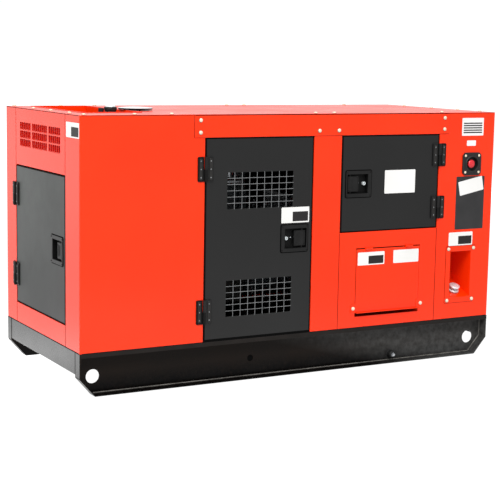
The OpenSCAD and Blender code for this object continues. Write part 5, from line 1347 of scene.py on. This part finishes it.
@dataclass
class EngineTrim:
    """The small parts on the engine: fasteners, filters, starter, injection pump and pipes."""

    middle: Point = (740.0, 460.0)
    crank_z: float = 330.0
    deck_z: float = 630.0
    # Width and height of the cylinder head, and half widths of the crankcase above and at its feet
    head: Point = (210.0, 90.0)
    wall: float = 105.0
    foot_wall: float = 150.0
    cylinders: Sequence[float] = (575.0, 680.0, 785.0, 890.0)
    port_z: float = 675.0
    injector_z: float = 641.0
    head_bolt_pitch: float = 95.0
    oil_filler: Point = (860.0, 790.0)
    bell_xs: Point = (980.2, 1109.8)
    bell_bolt_r: float = 232.0
    bell_bolts: int = 12
    starter: Place = (804.0, 272.0, 330.0)
    solenoid: Place = (848.0, 270.0, 396.0)
    oil_filter: Point = (690.0, 322.0)
    fuel_filter: Place = (660.0, 655.0, 328.0)
    fuel_head: Place = (660.0, 628.0, 470.0)
    pump: Place = (835.0, 611.0, 478.0)
    pump_size: Place = (170.0, 92.0, 76.0)
    valve_x: float = 775.0
    valve_pitch: float = 40.0
    thermostat: Place = (500.0, 538.0, 682.0)
    # Where the coolant pipes leave the radiator, and the points of their paths
    outlets: Sequence[Place] = ((340.0, 620.0, 905.0), (340.0, 300.0, 236.0))
    upper: Sequence[Place] = ((339, 620, 905), (400, 620, 905), (470, 612, 903), (492, 580, 880), (492, 560, 780),
                              (492, 542, 712), (492, 538, 682), (514, 538, 682))
    lower: Sequence[Place] = ((339, 300, 236), (420, 300, 236), (476, 302, 238), (488, 318, 290), (488, 328, 430),
                              (488, 352, 468), (503, 380, 470))

    def build(self) -> None:
        """Builds the trim."""
        self._head()
        self._starter()
        self._filters()
        self._injection()
        self._coolant()

    def _head(self) -> None:
        """Builds the valve cover's flange, the head bolts, the filler cap and the exhaust flanges."""
        x0, y0 = self.middle
        top = self.deck_z + self.head[1]
        flange = Shape().border(446.0, 166.0, 5.0, 10.0, 8.0, edge=1.0)
        show("valve_cover_flange", flange.moved(Side.TOP.at(x0, y0, top - 0.5)), STILL, CAST_IRON)
        spots = [Side.TOP.at(x0 + i * self.head_bolt_pitch, y0 + side * (self.head[0] / 2 - 11), top - 0.2)
                 for i in range(-2, 3) for side in (-1, 1)]
        stamped("cylinder_head_bolts", hex_bolt(14.0, 10.0), spots, STILL, ZINC)
        cap = Shape().turned([(0, 15), (18, 15), (21, 13), (29, 11), (29, 1), (27, -2), (0, -2)], 12)
        show("oil_filler_cap", cap.moved(Side.TOP.at(self.oil_filler[0], y0, self.oil_filler[1])), STILL, BLACK_NYLON)
        flange = Shape().block((62.0, 66.0, 13.0), (0, 0, 6), 3.0)
        face = y0 - self.wall
        ports = [Side.FRONT.at(x, face, self.port_z) for x in self.cylinders]
        stamped("exhaust_flanges", flange, ports, STILL, CAST_IRON)
        nuts = [Side.FRONT.at(x + 23 * s, face - 12.3, self.port_z + 24 * s) for x in self.cylinders for s in (-1, 1)]
        stamped("exhaust_flange_nuts", hex_bolt(12.0, 9.0), nuts, STILL, ZINC)

    def _starter(self) -> None:
        """Builds the starter motor with its solenoid, and the bolts of the bell housing."""
        place = Side.RIGHT.at(*self.starter)
        motor = Shape().turned([(0, -4), (10, -4), (12, 0), (36, 0), (42, 5), (42, 118), (0, 118)], 32)
        show("starter_motor", motor.moved(place), STILL, BLACK_CASTING)
        nose = Shape().turned([(0, 117), (45, 117), (46, 119), (46, 140), (41, 152), (34, 164), (32, 176.5),
                               (0, 176.5)], 32)
        show("starter_nose", nose.moved(place), STILL, ALUMINIUM)
        coil = Shape().turned([(0, 0), (22, 0), (25, 3), (25, 84), (22, 88), (0, 88)], 28)
        show("starter_solenoid", coil.moved(Side.RIGHT.at(*self.solenoid)), STILL, ZINC)
        x, y, z = self.solenoid
        studs = [Side.LEFT.at(x + 0.3, y + 11 * s, z) for s in (-1, 1)]
        stamped("starter_studs", hex_bolt(10.0, 12.0), studs, STILL, BRASS)
        ring = on_circle(self.bell_bolt_r, self.bell_bolts, 0.5)
        spots = [side.at(x, self.middle[1] + u, self.crank_z + v)
                 for side, x in zip((Side.LEFT, Side.RIGHT), self.bell_xs) for u, v in ring]
        stamped("bell_housing_bolts", hex_bolt(17.0, 11.0), spots, STILL, ZINC)

    def _filters(self) -> None:
        """Builds the oil filter at the front and the fuel filter at the back."""
        x, z = self.oil_filter
        can = Shape().turned([(0, 118), (24, 117), (40, 109), (46, 98), (46, 16), (44, 10), (37, 8), (37, -2),
                              (0, -2)], 40)
        show("oil_filter", can.moved(Side.FRONT.at(x, self.middle[1] - self.foot_wall, z)), STILL, CAN_ENAMEL)
        can = Shape().turned([(0, 0), (18, 0), (33, 7), (38, 18), (38, 112), (35, 117), (35, 124), (0, 124)], 40)
        x, y, z = self.fuel_filter
        show("fuel_filter", can.moved(Side.TOP.at(x, y, z)), STILL, CAN_ENAMEL)
        body = Shape().block((94.0, 128.0, 40.0), edge=7.0)
        show("fuel_filter_head", body.moved(Side.TOP.at(*self.fuel_head)), STILL, ALUMINIUM)
        drain = [Side.TOP.at(x, y, z + 0.5) @ Matrix.Rotation(math.pi, 4, "X")]
        stamped("fuel_filter_drain", hex_bolt(14.0, 12.0), drain, STILL, BRASS)

    def _injection(self) -> None:
        """Builds the injection pump with a steel pipe to each cylinder."""
        back = self.middle[1] + self.wall
        x, y, z = self.pump
        body = Shape().taking(Shape().block(self.pump_size, edge=6.0), [Side.TOP.at(x, y, z)])
        cover = Shape().turned([(0, 46), (24, 44), (33, 36), (36, -1), (0, -1)], 28)
        body.taking(cover, [Side.LEFT.at(x - self.pump_size[0] / 2, y, z)])
        show("injection_pump", body, STILL, ALUMINIUM)
        valves = [(self.valve_x + i * self.valve_pitch, y, z + 37.5) for i in range(4)]
        stamped("delivery_valves", hex_bolt(17.0, 27.0), [Side.TOP.at(*spot) for spot in valves], STILL, ZINC)
        pipes = Shape()
        for i, ((x, _, low), end) in enumerate(zip(valves, self.cylinders)):
            pipes.tube([(x, y, low + 20), (x, y, low + 55), (x, y, low + 80 + 6 * i), (end, y - 4, low + 84 + 6 * i),
                        *((end, spot, self.injector_z) for spot in (y - 6, back + 16, back + 4))], 6.4)
        show("injection_pipes", pipes.moved(IN_HOOD), STILL, ZINC)
        nuts = [Side.REAR.at(x, back - 0.2, self.injector_z) for x in self.cylinders]
        stamped("injector_nuts", hex_bolt(16.0, 15.0), nuts, STILL, ZINC)

    def _coolant(self) -> None:
        """Builds the steel coolant pipes between radiator and engine, with their rubber couplings."""
        pipes = Shape().tube(self.upper, 42.0).tube(self.lower, 36.0)
        show("coolant_pipes", pipes.moved(IN_HOOD), STILL, BLACK_ENAMEL)
        housing = Shape().block((74.0, 66.0, 26.0), edge=7.0)
        show("thermostat_housing", housing.moved(Side.LEFT.at(*self.thermostat)), STILL, CAST_IRON)
        sleeve = Shape().turned([(20.5, 0), (25, 0), (26, 3), (26, 43), (25, 46), (20.5, 46)], 32)
        clamp = Shape().turned([(25.6, 0), (27.4, 0), (27.4, 10), (25.6, 10)], 32)
        ends = [Side.RIGHT.at(*outlet) for outlet in self.outlets]
        stamped("coolant_couplings", sleeve, ends, STILL, RUBBER)
        bands = [end @ Matrix.Translation((0, 0, way)) for end in ends for way in (8.0, 30.0)]
        stamped("coupling_clamps", clamp, bands, STILL, ZINC)


@dataclass
class OutputTrim:
    """The small parts on the muffler, the generator and the weld terminals."""

    generator: Place = (1315.0, 460.0, 595.8)
    box: Point = (222.0, 212.0)
    muffler: Place = (570.0, 400.0, 890.0)
    muffler_r: float = 85.0
    muffler_l: float = 380.0
    lifting_eye: Point = (1530.0, 543.0)
    studs: Point = (1475.1, 1628.9)
    stud_z: float = 250.0
    board: tuple[float, float, float, float] = (1372.5, 1731.5, 45.0, 374.0)
    board_y: float = 107.5

    def build(self) -> None:
        """Builds the trim."""
        self._muffler_bands()
        self._generator()
        self._terminals()

    def _muffler_bands(self) -> None:
        """Builds the muffler's straps and rolled end seams."""
        x, y, z = self.muffler
        r = self.muffler_r
        strap = Shape().turned([(r - 0.5, 0), (r + 1.8, 0), (r + 1.8, 26), (r - 0.5, 26)], 48)
        seam = Shape().turned([(r - 0.5, -4), (r + 1.5, -3.5), (r + 2.6, 0), (r + 1.5, 3.5), (r - 0.5, 4)], 48)
        for name, band, ways, finish in (("straps", strap, (62, 292), GROUND_STEEL),
                                         ("seams", seam, (2, self.muffler_l - 2), ZINC)):
            stamped(f"muffler_{name}", band, [Side.RIGHT.at(x + way, y, z) for way in ways], STILL, finish)

    def _generator(self) -> None:
        """Builds the lid of the generator's terminal box, its glands and the lifting eye."""
        x, y, z = self.generator
        w, h = self.box
        place = Side.TOP.at(x, y, z)
        lid = Shape().plate(w + 10, h + 10, 4.0, 6.0, edge=1.2)
        show("generator_box_lid", lid.moved(place), STILL, GREY_ENAMEL)
        spots = [place @ Matrix.Translation((sx * (w / 2 - 7), sy * (h / 2 - 7), 3.8))
                 for sx in (-1, 0, 1) for sy in (-1, 1)]
        stamped("generator_lid_screws", button_screw(11.0), spots, STILL, ZINC)
        glands = [Side.FRONT.at(x - 60 + 60 * i, y - h / 2 - 3.8, z - 55) for i in range(3)]
        stamped("generator_glands", hex_bolt(32.0, 20.0), glands, STILL, BLACK_NYLON)
        eye = Shape().turned([(25 + u, v) for u, v in on_circle(6.5, 10)], 32)
        x, z = self.lifting_eye
        show("generator_lifting_eye", eye.moved(Side.FRONT.at(x, y, z)), STILL, ZINC)

    def _terminals(self) -> None:
        """Builds the coloured collars of the weld studs and the screws of their board."""
        collar = Shape().turned([(12.8, -0.5), (12.8, 9), (21, 9), (25, 5), (25, -0.5)], 32)
        for name, x, finish in (("red", self.studs[0], RED_PLASTIC), ("black", self.studs[1], BLACK_NYLON)):
            stamped(f"{name}_stud_collar", collar, [Side.FRONT.at(x, self.board_y, self.stud_z)], STILL, finish)
        x0, x1, z0, z1 = self.board
        spots = [Side.FRONT.at(x, self.board_y + 0.3, z) for x in (x0 + 18, x1 - 18) for z in (z0 + 18, z1 - 18)]
        stamped("terminal_board_screws", button_screw(12.0), spots, STILL, ZINC)


@dataclass
class Studio:
    """The plain studio: pale floor, soft light and the camera."""

    floor_size: float = 60.0
    paper: float = 0.06
    lens: float = 97.34
    yaw: float = -29.006
    pitch: float = -8.308
    roll: float = 1.015
    eye: Place = (-2071.0, -5191.0, 1266.0)
    sensor: float = 36.0
    sight: float = 200.0
    bright_way: Place = (-0.6, 0.8, 0.0)
    # Glow of the floor at places along bright_way, in metres from the machine's middle
    glow: Sequence[Point] = ((-9.0, 0.72), (-7.0, 0.68), (-5.0, 0.62), (-3.5, 0.6), (-2.6, 0.62), (-1.8, 0.97),
                             (-1.3, 1.05), (-0.7, 1.0), (0.1, 0.98), (0.6, 1.1), (1.1, 1.7), (1.7, 1.15), (2.2, 0.95),
                             (4.0, 0.95), (6.0, 1.05), (9.0, 1.2))
    brightest: float = 2.0
    # The surrounding's glow against bright_way, and what the patch overhead adds to it
    round_about: Point = (0.55, 1.02)
    overhead: float = 2.0
    # The soft light's place and size, in metres, and its power in watts
    key_at: Place = (-2.6, -5.2, 6.4)
    key_size: Point = (6.0, 3.0)
    key_watts: float = 620.0

    def build(self) -> None:
        """Builds the floor, the light and the camera."""
        scene = bpy.context.scene
        scene.view_settings.view_transform = "Standard"
        self._floor()
        self._world(scene)
        self._key_light()
        scene.camera = self._camera()

    def _floor(self) -> None:
        """Builds the floor, a sheet of paper lit from below and brightest behind the machine's left end."""
        bm = bmesh.new()
        bmesh.ops.create_grid(bm, x_segments=1, y_segments=1, size=self.floor_size / 2)
        mesh = bpy.data.meshes.new("studio_floor")
        bm.to_mesh(mesh)
        bm.free()
        paper = bpy.data.materials.new("backlit_studio_paper")
        paper.use_nodes = True
        tree = paper.node_tree
        tree.nodes.clear()
        where = add_node(tree, "ShaderNodeTexCoord").outputs["Object"]
        along = add_node(tree, "ShaderNodeVectorMath", {0: where, 1: self.bright_way}, operation="DOT_PRODUCT")
        near, far = self.glow[0][0], self.glow[-1][0]
        share = add_node(tree, "ShaderNodeMapRange", {
            "Value": along.outputs["Value"], "From Min": near, "From Max": far})
        ramp = add_node(tree, "ShaderNodeValToRGB", {"Fac": share.outputs["Result"]})
        while len(ramp.color_ramp.elements) < len(self.glow):
            ramp.color_ramp.elements.new(0.5)
        for element, (way, level) in zip(ramp.color_ramp.elements, self.glow):
            element.position = (way - near) / (far - near)
            element.color = (*[level / self.brightest] * 3, 1.0)
        glow = add_node(tree, "ShaderNodeMath", {0: ramp.outputs["Color"], 1: self.brightest}, operation="MULTIPLY")
        shader = add_node(tree, "ShaderNodeBsdfPrincipled", {
            "Base Color": (self.paper, self.paper, self.paper, 1.0), "Roughness": 0.9, "Specular IOR Level": 0.0,
            "Emission Color": linear("#ffffff"), "Emission Strength": glow.outputs["Value"]})
        add_node(tree, "ShaderNodeOutputMaterial", {"Surface": shader.outputs["BSDF"]})
        mesh.materials.append(paper)
        floor = bpy.data.objects.new("studio_floor", mesh)
        bpy.context.scene.collection.objects.link(floor)

    def _world(self, scene: bpy.types.Scene) -> None:
        """Gives the scene a white surrounding that darkens towards the front right, with a bright patch overhead.

        Args:
            scene: The scene.
        """
        world = bpy.data.worlds.new("white_studio")
        scene.world = world
        world.use_nodes = True
        tree = world.node_tree
        tree.nodes.clear()
        way = add_node(tree, "ShaderNodeTexCoord").outputs["Generated"]
        along = add_node(tree, "ShaderNodeVectorMath", {0: way, 1: self.bright_way}, operation="DOT_PRODUCT")
        level = add_node(tree, "ShaderNodeMapRange", {
            "Value": along.outputs["Value"], "From Min": -0.7, "From Max": 0.2,
            "To Min": self.round_about[0], "To Max": self.round_about[1]})
        up = add_node(tree, "ShaderNodeVectorMath", {0: way, 1: (0.0, 0.0, 1.0)}, operation="DOT_PRODUCT")
        overhead = add_node(tree, "ShaderNodeMapRange", {
            "Value": up.outputs["Value"], "From Min": 0.8, "From Max": 0.95, "To Min": 0.0, "To Max": self.overhead})
        total = add_node(tree, "ShaderNodeMath", {0: level.outputs["Result"], 1: overhead.outputs["Result"]})
        light = add_node(tree, "ShaderNodeBackground", {
            "Color": linear("#ffffff"), "Strength": total.outputs["Value"]})
        add_node(tree, "ShaderNodeOutputWorld", {"Surface": light.outputs["Background"]})

    def _key_light(self) -> None:
        """Builds the soft light that faces the machine."""
        light = bpy.data.lights.new("key_light", "AREA")
        light.shape = "RECTANGLE"
        light.size, light.size_y = self.key_size
        light.energy = self.key_watts
        lamp = bpy.data.objects.new("key_light", light)
        lamp.location = self.key_at
        lamp.rotation_euler = (Vector((0, 0, 0.5)) - Vector(self.key_at)).to_track_quat("-Z", "Y").to_euler()
        bpy.context.scene.collection.objects.link(lamp)

    def _camera(self) -> bpy.types.Object:
        """Builds the camera at the photograph's place.

        Returns:
            The camera.
        """
        camera = bpy.data.objects.new("photo_camera", bpy.data.cameras.new("photo_camera"))
        camera.data.sensor_width = self.sensor
        camera.data.lens = self.lens
        camera.data.clip_end = self.sight
        look = Matrix.Rotation(math.radians(self.yaw), 4, "Z") @ Matrix.Rotation(math.radians(90 + self.pitch), 4, "X")
        camera.matrix_world = (Matrix.Translation(CORNER + Vector(self.eye) * MM) @ look
                               @ Matrix.Rotation(math.radians(self.roll), 4, "Z"))
        bpy.context.scene.collection.objects.link(camera)
        return camera


def doors() -> list[Door]:
    """Lists the four doors with their latches.

    Returns:
        The doors.
    """
    engine = Latch("engine", Side.FRONT, (1034.0, 0, 440.5), 1, True)
    control = Latch("control", Side.FRONT, (1372.0, 0, 676.0), -1, True)
    end = Latch("end", Side.LEFT, (0, 258.0, 408.0), 1, False)
    rear = Latch("rear", Side.REAR, (1034.0, HOOD_W, 440.5), -1, False)
    return [
        Door("engine", Side.FRONT, (582.5, 0, 2.5), (542.0, 895.5), -2.5, (80.0, 707.5), engine, sill=9.0,
             grilles=((106.5, 440.5, 104.0, 265.0), (106.5, 440.5, 583.0, 744.0))),
        Door("control", Side.FRONT, (1281.5, 0, 454.0), (541.0, 444.0), 543.5, (43.0, 293.0), control),
        Door("end", Side.LEFT, (0, 781.5, 97.5), (614.0, 637.0), -2.5, (77.5, 451.5), end, finish=END_COAT_PAINTED_SHEEN),
        Door("rear", Side.REAR, (1124.5, HOOD_W, 2.5), (542.0, 895.5), 544.5, (80.0, 707.5), rear, sill=9.0,
             grilles=((101.5, 435.5, 104.0, 265.0), (101.5, 435.5, 583.0, 744.0))),
    ]


def main() -> None:
    """Builds the studio and the machine."""
    logging.basicConfig(level=logging.INFO, format="%(message)s")
    for part in (Studio(), Skid(), Canopy(), *doors(), OutputSide(), Refuelling(), EmergencyStop(), RoofFittings(),
                 Seams(), EndSlots(), SoundLining(), BlankPlates(), PowerUnit(), EngineTrim(), OutputTrim()):
        part.build()
    softened("frame_hinge_leaves", BLACK_OXIDE, 0.9)


if __name__ == "__main__":
    main()
